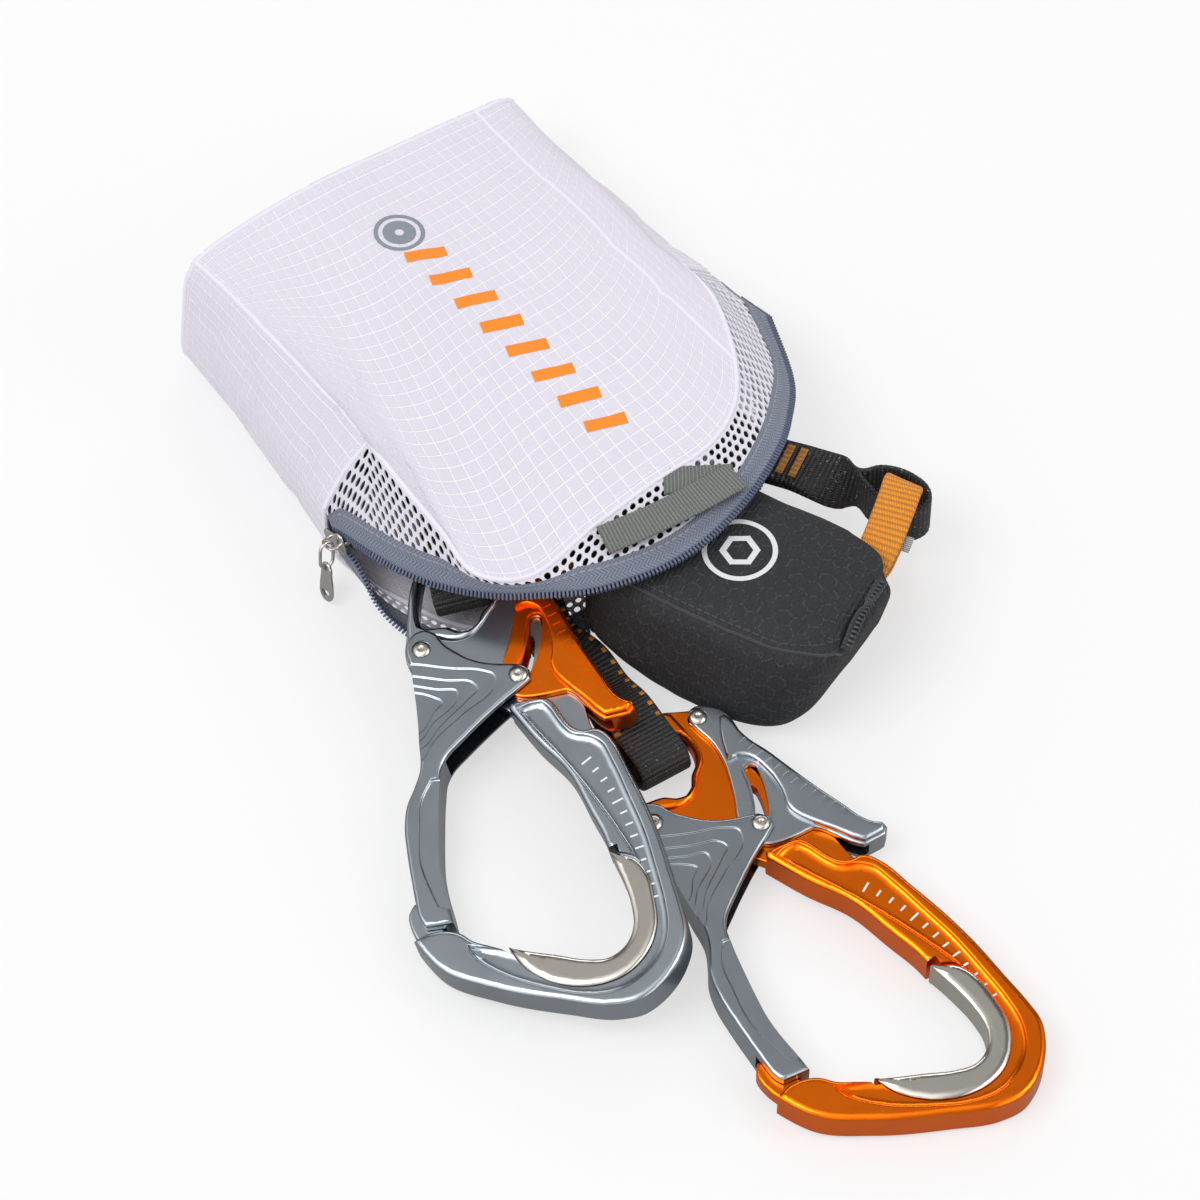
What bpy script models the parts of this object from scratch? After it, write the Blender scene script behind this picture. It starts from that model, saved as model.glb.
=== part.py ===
"""Via ferrata lanyard: two palm-squeeze carabiners on webbing arms, an energy absorber in its pouch, and a
zipped storage bag with a mesh mouth that holds the arms. Metres, +Z up, lying on a flat surface."""

import math

import bmesh
import bpy
import numpy as np
from mathutils import Matrix, Vector

# Whole object: the middle of its box in the layout plane, and the least gap between two pieces
CENTRE_X = -0.001620
CENTRE_Y = 0.010331
GAP = 0.0003
OVERRUN = 0.002

# Carabiner: the tables of shares below are shares of the distance from the gate pivot to the heel
PIVOT_TO_HEEL = 0.100
OUTLINE_STEP = 0.0075
CORNER_TURN = math.radians(38.0)
HOOK_HALF = 0.0055
HOOK_CHAMFER = 0.0009
WEB_HALF = 0.0020
RING_HALF = 0.0032
NOSE_HALF = 0.0026
GROOVE_DEPTH = 0.0008
LEVER_CHANNEL_HALF = 0.0023
LEVER_HALF = 0.0039
RAIL_HALF = 0.0058
GATE_SLOT_HALF = 0.0042
GATE_HALF = 0.0058
GATE_CHAMFER = 0.0004
GATE_STEP = 0.0003
TIP_SLOT_HALF = 0.0030
INSERT_HALF = 0.0051
INSERT_PLATE = 0.0010
INSERT_WALL = 0.0015
PIN_RADIUS = 0.0015
HEAD_RADIUS = 0.0026
HEAD_RISE = 0.0010
HEAD_SEAT = 0.0007
ROUND_SIDES = 10
GUIDE_TURN = math.radians(24.0)
WEBBING_STEP = 0.0050
SPRING_WIRE = 0.0006
SPRING_POCKET = 0.0028
GATE_SPRING_RADIUS = 0.0030
GATE_SPRING_TURNS = 3
LEVER_SPRING_RADIUS = 0.0024
LEVER_SPRING_TURNS = 2
TURN_POINTS = 8

# Where each carabiner lies: its gate pivot, its turn about the vertical, and how its plane rises along and across
GREY_PIVOT_X = -0.0505
GREY_PIVOT_Y = -0.0162
GREY_PIVOT_Z = 0.0133
GREY_TURN = math.radians(0.0)
GREY_RISE_ACROSS = 0.180
GREY_RISE_ALONG = 0.075
ORANGE_PIVOT_X = 0.0151
ORANGE_PIVOT_Y = -0.0725
ORANGE_PIVOT_Z = 0.0082
ORANGE_TURN = math.radians(22.2)
ORANGE_RISE_ACROSS = 0.0
ORANGE_RISE_ALONG = 0.020

# Bag: the tables of its rings are shares of the distance from the far seam to the middle of the zip's left side
BAG_SPAN = 0.100
BAG_ORIGIN_X = -0.0748
BAG_ORIGIN_Y = 0.1447
BAG_TURN = math.radians(-50.0)
CLOTH = 0.0009
BAG_CROWN = 0.0035
BAG_STATIONS = 5
BAG_STEP = 0.0180
SEAM_GAP = 0.0010
BASE_BULGE = 0.0050
TAPE_WIDTH = 0.0070
TAPE_THICKNESS = 0.0010
TEETH_RADIUS = 0.0009
HANG_LOOP_WIDTH = 0.0100

# Zip slider and its pull
SLIDER_LENGTH = 0.0090
SLIDER_WIDTH = 0.0080
SLIDER_PLATE = 0.0009
SLIDER_MOUTH = 0.0026
SLIDER_POST = 0.0014
SLIDER_TILT = math.radians(15.0)
BAIL_RISE = 0.0030
BAIL_SPAN_SHARE = 0.30
PULL_LIFT = math.radians(14.0)
PULL_WIRE = 0.0005
PULL_RING_LENGTH = 0.0085
PULL_RING_WIDTH = 0.0046
RING_END_POINTS = 6
PULL_TAB_LENGTH = 0.0125
PULL_TAB_WIDTH = 0.0060
PULL_TAB_THICKNESS = 0.0010

# Webbing
WEBBING_WIDTH = 0.0160
WEBBING_THICKNESS = 0.0015
ARM_RUNS = 6
ARM_RUN_PITCH = 0.0042
ARM_LOWEST = 0.0052
ARM_RUN_FAR = 0.016
ARM_A_RUN_NEAR = 0.074
ARM_B_RUN_NEAR = 0.085
ARM_A_SKEW = math.radians(9.0)
ARM_B_SKEW = math.radians(10.0)
EYE_TAIL = 0.0115
EYE_GAP = 0.0043
EYE_BAR_ALONG = 0.0313
EYE_ACROSS = 0.0087
EYE_BIGHT = 0.0215
EYE_JOIN = 0.0500

# Absorber pouch
POUCH_LENGTH = 0.0840
POUCH_DEPTH = 0.0570
POUCH_HEIGHT = 0.0375
POUCH_X = 0.0414
POUCH_Y = 0.0004
POUCH_TURN = math.radians(-29.0)
POUCH_WALL = 0.0014
POUCH_SQUARENESS = 6.0
POUCH_CUTS = 4
POUCH_FRONT_LEAN = 0.0045
POUCH_END_SLANT = 0.0050
POUCH_END_LEAN = 0.0070
POUCH_COLUMN_POWER = 1.35
POUCH_LIP_RISE = 0.0036
POUCH_ARM_RISE = 0.0095
POUCH_LIP_FROM = -0.25
POUCH_LIP_SPAN = 0.35
POUCH_ZIP_OFF = 0.0008
POUCH_ZIP_WIDTH = 0.0050
POUCH_ZIP_SHARES = ((0.50, 0.95), (0.30, 0.93), (0.10, 0.90), (-0.10, 0.85), (-0.25, 0.76), (-0.36, 0.62))
PACK_LAYERS = 6
PACK_LENGTH = 0.0460
PACK_SHIFT = -0.0060
PACK_WIDTH = 0.0300
PACK_PITCH = 0.0042

# Attachment loop, rest loop and label
ATTACHMENT_WIDTH = 0.0120
ATTACHMENT_THICKNESS = 0.0018
TACK_THICKNESS = 0.0006
TACK_WIDTH = 0.0110
TACK_LENGTH = 0.0024
LABEL_WIDTH = 0.0090
LABEL_LENGTH = 0.0050
LABEL_THICKNESS = 0.0006
LABEL_OUT = 0.0040
LABEL_FROM = 3

HOOK_SHARES = (
    (0.255, -0.220), (0.260, -0.203), (0.330, -0.195), (0.360, -0.195), (0.380, -0.210), (0.410, -0.260),
    (0.440, -0.300), (0.470, -0.315), (0.500, -0.310), (0.530, -0.325), (0.550, -0.350), (0.600, -0.460),
    (0.650, -0.580), (0.690, -0.700), (0.720, -0.820), (0.745, -0.920), (0.755, -0.990), (0.740, -1.050),
    (0.700, -1.120), (0.660, -1.160), (0.620, -1.185), (0.550, -1.195), (0.400, -1.165), (0.200, -1.105),
    (0.050, -1.030), (0.000, -0.970), (-0.020, -0.940), (0.005, -0.925), (0.110, -0.925), (0.150, -0.955),
    (0.200, -0.975), (0.238, -0.990), (0.245, -1.004), (0.295, -1.018), (0.376, -1.038), (0.480, -1.063),
    (0.536, -1.062), (0.593, -1.023), (0.621, -0.952), (0.618, -0.897), (0.587, -0.784), (0.556, -0.716),
    (0.535, -0.706), (0.528, -0.680), (0.480, -0.570), (0.420, -0.440), (0.330, -0.330),
)
HEAD_SHARES = (
    (-0.055, 0.000), (-0.046, -0.032), (-0.020, -0.052), (0.010, -0.056), (0.040, -0.052), (0.100, -0.090),
    (0.170, -0.148), (0.240, -0.205), (0.290, -0.260), (0.360, -0.340), (0.460, -0.440), (0.520, -0.440),
    (0.540, -0.380), (0.515, -0.345), (0.485, -0.280), (0.465, -0.200), (0.403, -0.070), (0.372, 0.000),
    (0.338, 0.100), (0.310, 0.200), (0.308, 0.250), (0.300, 0.290), (0.285, 0.315), (0.260, 0.328),
    (0.220, 0.340), (0.170, 0.355), (0.080, 0.355), (0.020, 0.340), (-0.020, 0.305), (-0.035, 0.260),
    (-0.045, 0.220), (-0.050, 0.150), (-0.052, 0.080),
)
RING_SHARES = (
    (-0.050, 0.080), (-0.046, 0.040), (0.020, 0.052), (0.100, 0.038), (0.140, 0.050), (0.170, 0.080),
    (0.195, 0.120), (0.218, 0.150), (0.226, 0.180), (0.226, 0.220), (0.216, 0.260), (0.206, 0.300),
    (0.195, 0.338), (0.168, 0.352), (0.080, 0.352), (0.022, 0.338), (-0.018, 0.303), (-0.033, 0.260),
    (-0.043, 0.220), (-0.048, 0.150),
)
EYE_SHARES = (
    (-0.015, 0.120), (-0.010, 0.100), (0.010, 0.090), (0.040, 0.090), (0.070, 0.088), (0.100, 0.072),
    (0.130, 0.070), (0.155, 0.090), (0.170, 0.125), (0.195, 0.155), (0.205, 0.190), (0.203, 0.230),
    (0.190, 0.260), (0.160, 0.270), (0.020, 0.270), (-0.005, 0.255), (-0.013, 0.200),
)
NOSE_SHARES = (
    (0.085, -0.930), (0.065, -0.900), (0.060, -0.860), (0.045, -0.820), (0.010, -0.805), (-0.025, -0.810),
    (-0.040, -0.840), (-0.035, -0.880), (-0.015, -0.925), (0.015, -0.965), (0.080, -0.965),
)
GROOVE_SHARES = (
    (0.280, -0.230), (0.310, -0.215), (0.350, -0.210), (0.370, -0.230), (0.400, -0.280), (0.440, -0.325),
    (0.480, -0.335), (0.520, -0.360), (0.550, -0.420), (0.600, -0.550), (0.640, -0.660), (0.670, -0.780),
    (0.695, -0.900), (0.700, -0.970), (0.680, -1.050), (0.630, -1.110), (0.560, -1.150), (0.480, -1.155),
    (0.350, -1.120), (0.220, -1.060), (0.150, -1.000), (0.135, -0.970), (0.250, -0.999), (0.330, -1.042),
    (0.420, -1.075), (0.560, -1.075), (0.630, -0.990), (0.610, -0.740), (0.570, -0.660), (0.500, -0.540),
    (0.420, -0.420), (0.330, -0.300),
)
INSERT_OUTER_SHARES = (
    (0.540, -0.715), (0.610, -0.740), (0.640, -0.780), (0.665, -0.880), (0.670, -0.950), (0.640, -1.040),
    (0.580, -1.100), (0.500, -1.125), (0.420, -1.120), (0.330, -1.080), (0.290, -1.045), (0.250, -0.985),
)
INSERT_INNER_SHARES = (
    (0.300, -1.000), (0.380, -1.020), (0.480, -1.045), (0.530, -1.045), (0.580, -1.010), (0.603, -0.950),
    (0.600, -0.900), (0.570, -0.790),
)
GATE_SHARES = (
    (-0.048, 0.000), (-0.042, 0.035), (-0.020, 0.060), (0.010, 0.068), (0.040, 0.052), (0.065, 0.015),
    (0.100, -0.015), (0.150, -0.048), (0.200, -0.065), (0.250, -0.073), (0.290, -0.080), (0.315, -0.100),
    (0.318, -0.130), (0.290, -0.155), (0.240, -0.195), (0.180, -0.250), (0.120, -0.310), (0.075, -0.360),
    (0.060, -0.390), (0.053, -0.450), (0.050, -0.550), (0.050, -0.620), (0.053, -0.700), (0.065, -0.770),
    (0.083, -0.840), (0.095, -0.895), (0.015, -0.900), (0.000, -0.880), (-0.015, -0.820), (-0.025, -0.760),
    (-0.040, -0.660), (-0.048, -0.570), (-0.042, -0.510), (-0.020, -0.450), (-0.005, -0.400),
    (-0.008, -0.300), (-0.015, -0.200), (-0.023, -0.130), (-0.035, -0.050),
)
FORK_SHARES = (
    (-0.080, 0.100), (0.350, 0.100), (0.350, -0.200), (0.100, -0.380), (0.030, -0.360), (0.010, -0.120),
    (-0.080, -0.080),
)
TIP_SLOT_SHARES = ((-0.080, -0.790), (0.068, -0.790), (0.068, -0.930), (-0.080, -0.930))
CHEVRON_SHARES = (
    ((-0.120, -0.060), (0.100, -0.075), (0.180, -0.090), (0.215, -0.110), (0.215, -0.140), (0.120, -0.230),
     (0.030, -0.320), (0.010, -0.360), (-0.120, -0.360)),
    ((-0.120, -0.100), (0.080, -0.110), (0.150, -0.125), (0.165, -0.145), (0.140, -0.175), (0.050, -0.265),
     (0.010, -0.320), (-0.120, -0.320)),
    ((-0.120, -0.125), (0.050, -0.135), (0.105, -0.150), (0.105, -0.165), (0.030, -0.250), (0.000, -0.295),
     (-0.120, -0.295)),
    ((-0.120, -0.157), (0.040, -0.160), (0.060, -0.175), (0.040, -0.200), (-0.005, -0.270), (-0.120, -0.270)),
)
ARM_RECESS_SHARES = (
    (0.030, -0.430), (0.000, -0.500), (-0.003, -0.580), (0.000, -0.700), (0.030, -0.790), (0.055, -0.850),
    (0.200, -0.850), (0.200, -0.430),
)
LEVER_SHARES = (
    (0.235, 0.300), (0.240, 0.320), (0.265, 0.330), (0.290, 0.323), (0.310, 0.310), (0.330, 0.295),
    (0.345, 0.270), (0.350, 0.240), (0.355, 0.200), (0.370, 0.160), (0.400, 0.110), (0.440, 0.030),
    (0.490, -0.070), (0.530, -0.140), (0.570, -0.205), (0.590, -0.220), (0.610, -0.230), (0.615, -0.250),
    (0.600, -0.270), (0.530, -0.280), (0.510, -0.265), (0.470, -0.220), (0.440, -0.185), (0.420, -0.172),
    (0.380, -0.178), (0.320, -0.183), (0.280, -0.178), (0.250, -0.155), (0.232, -0.100), (0.235, -0.050),
    (0.250, 0.000), (0.260, 0.050), (0.268, 0.100), (0.270, 0.140), (0.268, 0.170), (0.260, 0.210),
    (0.240, 0.260),
)
RAIL_SHARES = (
    (0.275, 0.112), (0.310, 0.120), (0.340, 0.105), (0.360, 0.070), (0.375, 0.020), (0.380, -0.050),
    (0.375, -0.085), (0.385, -0.115), (0.425, -0.165), (0.480, -0.220), (0.516, -0.260), (0.535, -0.274),
    (0.596, -0.264), (0.608, -0.248), (0.604, -0.236), (0.586, -0.228), (0.562, -0.205), (0.524, -0.138),
    (0.484, -0.068), (0.434, 0.030), (0.394, 0.110), (0.364, 0.160), (0.349, 0.200), (0.342, 0.240),
    (0.330, 0.264), (0.312, 0.262), (0.296, 0.220), (0.284, 0.165),
)
CHANNEL_SHARES = (
    (0.150, 0.400), (0.295, 0.400), (0.316, 0.310), (0.322, 0.270), (0.328, 0.200), (0.366, 0.100),
    (0.406, 0.010), (0.458, -0.080), (0.500, -0.150), (0.536, -0.205), (0.548, -0.245), (0.548, -0.400),
    (0.150, -0.400),
)
LEVER_SLOT_SHARES = ((0.2835, -0.113), (0.308, -0.066), (0.322, -0.017), (0.330, 0.030), (0.331, 0.070))
GUIDE_PIN_SHARES = (0.2835, -0.113)
LEVER_PIVOT_SHARES = (0.260, 0.293)

# The seam between panel and gusset, and the zip, from the slider over the top to the right-hand end
UPPER_SEAM_SHARES = (
    (0.855, -0.790, 0.265), (0.845, -0.700, 0.360), (0.850, -0.615, 0.430), (1.020, -0.635, 0.430),
    (1.210, -0.645, 0.410), (1.390, -0.650, 0.380), (1.500, -0.560, 0.400), (1.510, -0.330, 0.440),
    (1.505, -0.100, 0.450), (1.505, 0.130, 0.450), (1.420, 0.300, 0.432), (1.290, 0.410, 0.405),
    (1.060, 0.530, 0.365), (0.880, 0.560, 0.330), (0.870, 0.660, 0.220),
)
UPPER_ZIP_SHARES = (
    (0.890, -0.790, 0.203), (0.980, -0.790, 0.235), (1.070, -0.790, 0.265), (1.180, -0.775, 0.290),
    (1.310, -0.730, 0.310), (1.470, -0.640, 0.350), (1.570, -0.550, 0.380), (1.680, -0.420, 0.415),
    (1.750, -0.190, 0.430), (1.720, 0.070, 0.430), (1.620, 0.300, 0.405), (1.530, 0.415, 0.360),
    (1.390, 0.545, 0.300), (1.150, 0.670, 0.250), (1.000, 0.690, 0.180),
)
LOWER_SEAM_SHARES = (
    (0.855, -0.790, 0.115), (0.885, -0.788, 0.070), (0.980, -0.760, 0.025), (1.100, -0.720, 0.0),
    (1.260, -0.660, 0.0), (1.380, -0.550, 0.0), (1.420, -0.330, 0.0), (1.430, -0.100, 0.0),
    (1.420, 0.130, 0.0), (1.360, 0.340, 0.0), (1.220, 0.500, 0.0), (1.040, 0.600, 0.020),
    (0.880, 0.660, 0.100),
)
LOWER_ZIP_SHARES = (
    (0.890, -0.790, 0.177), (1.000, -0.790, 0.135), (1.110, -0.808, 0.080), (1.210, -0.795, 0.042),
    (1.340, -0.740, 0.022), (1.480, -0.610, 0.018), (1.550, -0.380, 0.016), (1.570, -0.120, 0.016),
    (1.540, 0.140, 0.016), (1.470, 0.370, 0.018), (1.340, 0.550, 0.024), (1.160, 0.650, 0.070),
    (1.000, 0.690, 0.140),
)
# The far seam, column for column with the two seams above
FAR_UPPER_SHARES = (
    (0.0, -0.650, 0.240), (0.0, -0.630, 0.370), (0.0, -0.595, 0.430), (0.0, -0.520, 0.448),
    (0.0, -0.420, 0.452), (0.0, -0.300, 0.450), (0.0, -0.180, 0.440), (0.0, -0.050, 0.420),
    (0.0, 0.080, 0.390), (0.0, 0.220, 0.360), (0.0, 0.360, 0.330), (0.0, 0.480, 0.300),
    (0.0, 0.570, 0.280), (0.0, 0.620, 0.250), (0.0, 0.640, 0.180),
)
FAR_LOWER_SHARES = (
    (0.0, -0.660, 0.160), (0.0, -0.665, 0.080), (0.0, -0.640, 0.020), (0.0, -0.540, 0.0),
    (0.0, -0.420, 0.0), (0.0, -0.260, 0.0), (0.0, -0.100, 0.0), (0.0, 0.080, 0.0),
    (0.0, 0.260, 0.0), (0.0, 0.440, 0.0), (0.0, 0.580, 0.0), (0.0, 0.660, 0.030),
    (0.0, 0.660, 0.100),
)
SLIDER_PLACE_SHARES = (0.925, -0.790, 0.190)
HANG_LOOP_SHARES = (
    (1.570, -0.330, 0.452), (1.600, -0.230, 0.462), (1.625, -0.110, 0.466), (1.640, 0.010, 0.464),
    (1.645, 0.110, 0.457),
)
# Routes of the arms between the folded runs and the carabiners, in the bag's frame
ARM_A_IN_SHARES = ((1.480, -0.170, 0.090), (1.430, -0.185, 0.090), (1.200, -0.300, 0.074), (0.950, -0.430, 0.055))
ARM_A_OUT_SHARES = ((0.840, -0.450, 0.238),)
ARM_B_IN_SHARES = ((1.480, -0.165, 0.150), (1.430, -0.185, 0.150), (1.250, -0.210, 0.140), (1.000, -0.205, 0.070))
ARM_B_OUT_SHARES = (
    (0.980, -0.215, 0.240), (1.120, -0.290, 0.175), (1.270, -0.380, 0.125), (1.430, -0.465, 0.110),
    (1.540, -0.500, 0.100),
)
ARM_A_LANE_SHARE = -0.460
ARM_B_LANE_SHARE = -0.200
# Half the tab's width, and how far along it from its hole
TAB_SHARES = (
    (-0.22, 0.10), (0.22, 0.10), (0.36, 0.00), (0.40, -0.20), (0.50, -0.55), (0.48, -0.78), (0.30, -0.90),
    (-0.30, -0.90), (-0.48, -0.78), (-0.50, -0.55), (-0.40, -0.20), (-0.36, 0.00),
)
# Routes of the loops at the pouch's right end, in metres in the layout plane, and the turn of the width
ATTACHMENT_ROUTE = (
    (0.0678, -0.0050, 0.0278), (0.0720, -0.0012, 0.0292), (0.0770, 0.0035, 0.0312), (0.0808, 0.0100, 0.0330),
    (0.0842, 0.0190, 0.0337), (0.0868, 0.0270, 0.0335), (0.0884, 0.0330, 0.0318), (0.0890, 0.0363, 0.0270),
    (0.0885, 0.0370, 0.0200), (0.0876, 0.0367, 0.0135), (0.0860, 0.0345, 0.0088), (0.0833, 0.0290, 0.0075),
    (0.0803, 0.0205, 0.0100), (0.0775, 0.0130, 0.0150), (0.0728, 0.0044, 0.0170), (0.0698, -0.0003, 0.0175),
)
ATTACHMENT_DEGREES = (-45, -43, -38, -33, -30, -29, -29, -30, -30, -30, -30, -30, -30, -33, -42, -45)
REST_END_SHARES = ((0.400, 0.320, 0.033), (0.700, 0.320, 0.033), (0.950, 0.325, 0.055), (1.250, 0.345, 0.130))
REST_PAIR_ROUTE = (
    (0.0480, 0.0530, 0.0180), (0.0590, 0.0482, 0.0190), (0.0670, 0.0445, 0.0190), (0.0715, 0.0425, 0.0190),
    (0.0765, 0.0410, 0.0190),
)
REST_TURN_SHARES = (0.0, 0.0, 0.0, 0.0, 0.0, 0.0, 0.2, 0.62, 1.0)
REST_RING_ROUTE = (
    (0.0822, 0.0432, 0.0190), (0.0872, 0.0424, 0.0190), (0.0924, 0.0395, 0.0190), (0.0958, 0.0355, 0.0190),
    (0.0960, 0.0310, 0.0190), (0.0925, 0.0282, 0.0190), (0.0873, 0.0288, 0.0190), (0.0822, 0.0320, 0.0190),
    (0.0788, 0.0362, 0.0190),
)
# Where the bar tacks cross the rest loop, along the first step of its pair's route
TACK_SHARES = (0.28, 0.62, 0.96)


def metres(shares, span=PIVOT_TO_HEEL):
    """A table of shares as lengths."""
    return [tuple(value * span for value in row) for row in shares]


def smooth(points, step, closed=True):
    """A smooth line through points of two or three coordinates, with its sharp corners kept."""
    line = [np.array(p, float) for p in points]
    count = len(line)

    def tangents(i):
        before, here, after = line[i - 1], line[i], line[(i + 1) % count]
        if not closed and i == 0:
            return after - here, after - here
        if not closed and i == count - 1:
            return here - before, here - before
        back, ahead = here - before, after - here
        turn = math.acos(max(-1.0, min(1.0, back @ ahead / np.linalg.norm(back) / np.linalg.norm(ahead))))
        if turn > CORNER_TURN:
            return back, ahead
        mean = back / np.linalg.norm(back) * np.linalg.norm(ahead)
        mean = mean + ahead / np.linalg.norm(ahead) * np.linalg.norm(back)
        return mean, mean

    result = []
    for i in range(count if closed else count - 1):
        start, end = line[i], line[(i + 1) % count]
        length = np.linalg.norm(end - start)
        leave, arrive = tangents(i)[1], tangents((i + 1) % count)[0]
        leave = leave / np.linalg.norm(leave) * length
        arrive = arrive / np.linalg.norm(arrive) * length
        cuts = max(1, round(length / step))
        for k in range(cuts):
            t = k / cuts
            result.append(
                (2 * t**3 - 3 * t**2 + 1) * start + (t**3 - 2 * t**2 + t) * leave
                + (3 * t**2 - 2 * t**3) * end + (t**3 - t**2) * arrive
            )
    if not closed:
        result.append(line[-1])
    return result


def offset_line(points, distance):
    """An open line moved sideways, to the left of its direction for a positive distance."""
    line = [np.array(p, float) for p in points]
    result = []
    for i, here in enumerate(line):
        ahead = line[min(i + 1, len(line) - 1)] - line[max(i - 1, 0)]
        ahead = ahead / np.linalg.norm(ahead)
        result.append(here + distance * np.array((-ahead[1], ahead[0])))
    return result


def lengthened(points, distance):
    """An open line with both ends moved on by a distance."""
    line = [np.array(p, float) for p in points]
    first, last = line[0] - line[1], line[-1] - line[-2]
    line[0] = line[0] + first / np.linalg.norm(first) * distance
    line[-1] = line[-1] + last / np.linalg.norm(last) * distance
    return line


def material(name, colour, roughness, metallic=0.0):
    """A plain Principled material."""
    made = bpy.data.materials.new(name)
    made.use_nodes = True
    shader = made.node_tree.nodes["Principled BSDF"]
    shader.inputs["Base Color"].default_value = (*colour, 1.0)
    shader.inputs["Roughness"].default_value = roughness
    shader.inputs["Metallic"].default_value = metallic
    made.diffuse_color = (*colour, 1.0)
    return made


def collection(name):
    made = bpy.data.collections.new(name)
    bpy.context.scene.collection.children.link(made)
    return made


def empty(name, matrix, parent=None):
    """An empty that stands for a place."""
    made = bpy.data.objects.new(name, None)
    PARTS.objects.link(made)
    made.parent = parent
    made.matrix_local = matrix
    return made


def add(name, mesh, parent, finish=None, place=(0.0, 0.0, 0.0)):
    """A piece, or a cutter where no finish is given."""
    made = bpy.data.objects.new(name, mesh)
    (PARTS if finish else CUTTERS).objects.link(made)
    made.parent = parent
    made.location = place
    if finish:
        mesh.materials.append(finish)
    else:
        made.hide_render = True
        made.display_type = "WIRE"
    return made


def from_curve(name, curve, parent, finish, place):
    """The mesh of a curve as an object, with its caps welded on."""
    source = bpy.data.objects.new(name + "_curve", curve)
    bpy.context.scene.collection.objects.link(source)
    bpy.context.view_layer.update()
    shape = source.evaluated_get(bpy.context.evaluated_depsgraph_get())
    mesh = bpy.data.meshes.new_from_object(shape)
    bpy.data.objects.remove(source)
    bpy.data.curves.remove(curve)
    work = bmesh.new()
    work.from_mesh(mesh)
    bmesh.ops.remove_doubles(work, verts=work.verts, dist=GAP / 100)
    work.to_mesh(mesh)
    work.free()
    mesh.name = name
    mesh.materials.clear()
    return add(name, mesh, parent, finish, place)


def plate(name, outlines, low, high, parent, finish=None, origin=(0.0, 0.0), chamfer=0.0):
    """A flat piece between two heights, from one or more closed outlines."""
    curve = bpy.data.curves.new(name, "CURVE")
    curve.dimensions = "2D"
    curve.fill_mode = "BOTH"
    curve.extrude = (high - low) / 2 - chamfer
    curve.bevel_depth = chamfer
    curve.bevel_resolution = 0
    curve.offset = -chamfer
    for outline in outlines:
        spline = curve.splines.new("POLY")
        spline.points.add(len(outline) - 1)
        for point, (u, v) in zip(spline.points, outline):
            point.co = (u - origin[0], v - origin[1], 0.0, 1.0)
        spline.use_cyclic_u = True
    return from_curve(name, curve, parent, finish, (origin[0], origin[1], (low + high) / 2))


def tube(name, points, radius, parent, finish=None, resolution=1, closed=False, place=(0.0, 0.0, 0.0)):
    """A round bar along points."""
    curve = bpy.data.curves.new(name, "CURVE")
    curve.dimensions = "3D"
    curve.bevel_depth = radius
    curve.bevel_resolution = resolution
    curve.use_fill_caps = not closed
    spline = curve.splines.new("POLY")
    spline.points.add(len(points) - 1)
    for point, co in zip(spline.points, points):
        point.co = (*co, 1.0)
    spline.use_cyclic_u = closed
    return from_curve(name, curve, parent, finish, place)


def drum(name, radius, low, high, parent, place=(0.0, 0.0), finish=None):
    """A round bar or hole along the local Z axis."""
    mesh = bpy.data.meshes.new(name)
    work = bmesh.new()
    bmesh.ops.create_cone(
        work, cap_ends=True, segments=ROUND_SIDES, radius1=radius, radius2=radius, depth=high - low
    )
    work.to_mesh(mesh)
    work.free()
    return add(name, mesh, parent, finish, (place[0], place[1], (low + high) / 2))


def box(name, size, parent, place, finish=None, bevel=0.0):
    """A block about its place."""
    mesh = bpy.data.meshes.new(name)
    work = bmesh.new()
    bmesh.ops.create_cube(work, size=1.0)
    bmesh.ops.scale(work, vec=size, verts=work.verts)
    if bevel:
        bmesh.ops.bevel(work, geom=work.edges, offset=bevel, segments=1, affect="EDGES", profile=0.5)
    work.to_mesh(mesh)
    work.free()
    return add(name, mesh, parent, finish, place)


def boolean(target, tools, operation="DIFFERENCE"):
    for tool in tools:
        step = target.modifiers.new(tool.name, "BOOLEAN")
        step.operation = operation
        step.solver = "EXACT"
        step.object = tool


def solidify(target, thickness):
    step = target.modifiers.new("thickness", "SOLIDIFY")
    step.thickness = thickness
    step.offset = 0.0


def sheet(name, rows, thickness, parent, finish, closed=False, capped=False):
    """A cloth panel lofted through rows of points, its last row filled where it is capped."""
    across = len(rows[0])
    points = [tuple(p) for row in rows for p in row]
    faces = []
    for i in range(len(rows) - 1):
        for j in range(across if closed else across - 1):
            k = (j + 1) % across
            faces.append((i * across + j, i * across + k, (i + 1) * across + k, (i + 1) * across + j))
    if capped:
        faces.append(tuple((len(rows) - 1) * across + j for j in range(across)))
    mesh = bpy.data.meshes.new(name)
    mesh.from_pydata(points, [], faces)
    made = add(name, mesh, parent, finish)
    solidify(made, thickness)
    return made


def strap(name, stations, width, thickness, parent, finish):
    """Flat webbing through stations of a middle point and a direction across."""
    rows = [(c - a * (width / 2), c + a * (width / 2)) for c, a in stations]
    return sheet(name, rows, thickness, parent, finish)


def along(points, across, step):
    """Stations of a strap on a smooth route, with its directions across eased from point to point."""
    both = [np.concatenate((np.array(p), np.array(a) * step)) for p, a in zip(points, across)]
    result = []
    for row in smooth(both, step, closed=False):
        a = Vector(row[3:])
        result.append((Vector(row[:3]), a.normalized()))
    return result


def placed(x, y, z, turn, rise_across=0.0, rise_along=0.0):
    """A place in the layout plane, with its plane tilted by its two rises."""
    across = Vector((1.0, 0.0, rise_across)).normalized()
    normal = Vector((-rise_across, -rise_along, 1.0)).normalized()
    upward = normal.cross(across)
    # The rises are along the carabiner's own directions, so the turn comes last
    local = Matrix((across, upward, normal)).transposed().to_4x4()
    return Matrix.Translation((x, y, z)) @ Matrix.Rotation(turn, 4, "Z") @ local


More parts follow.
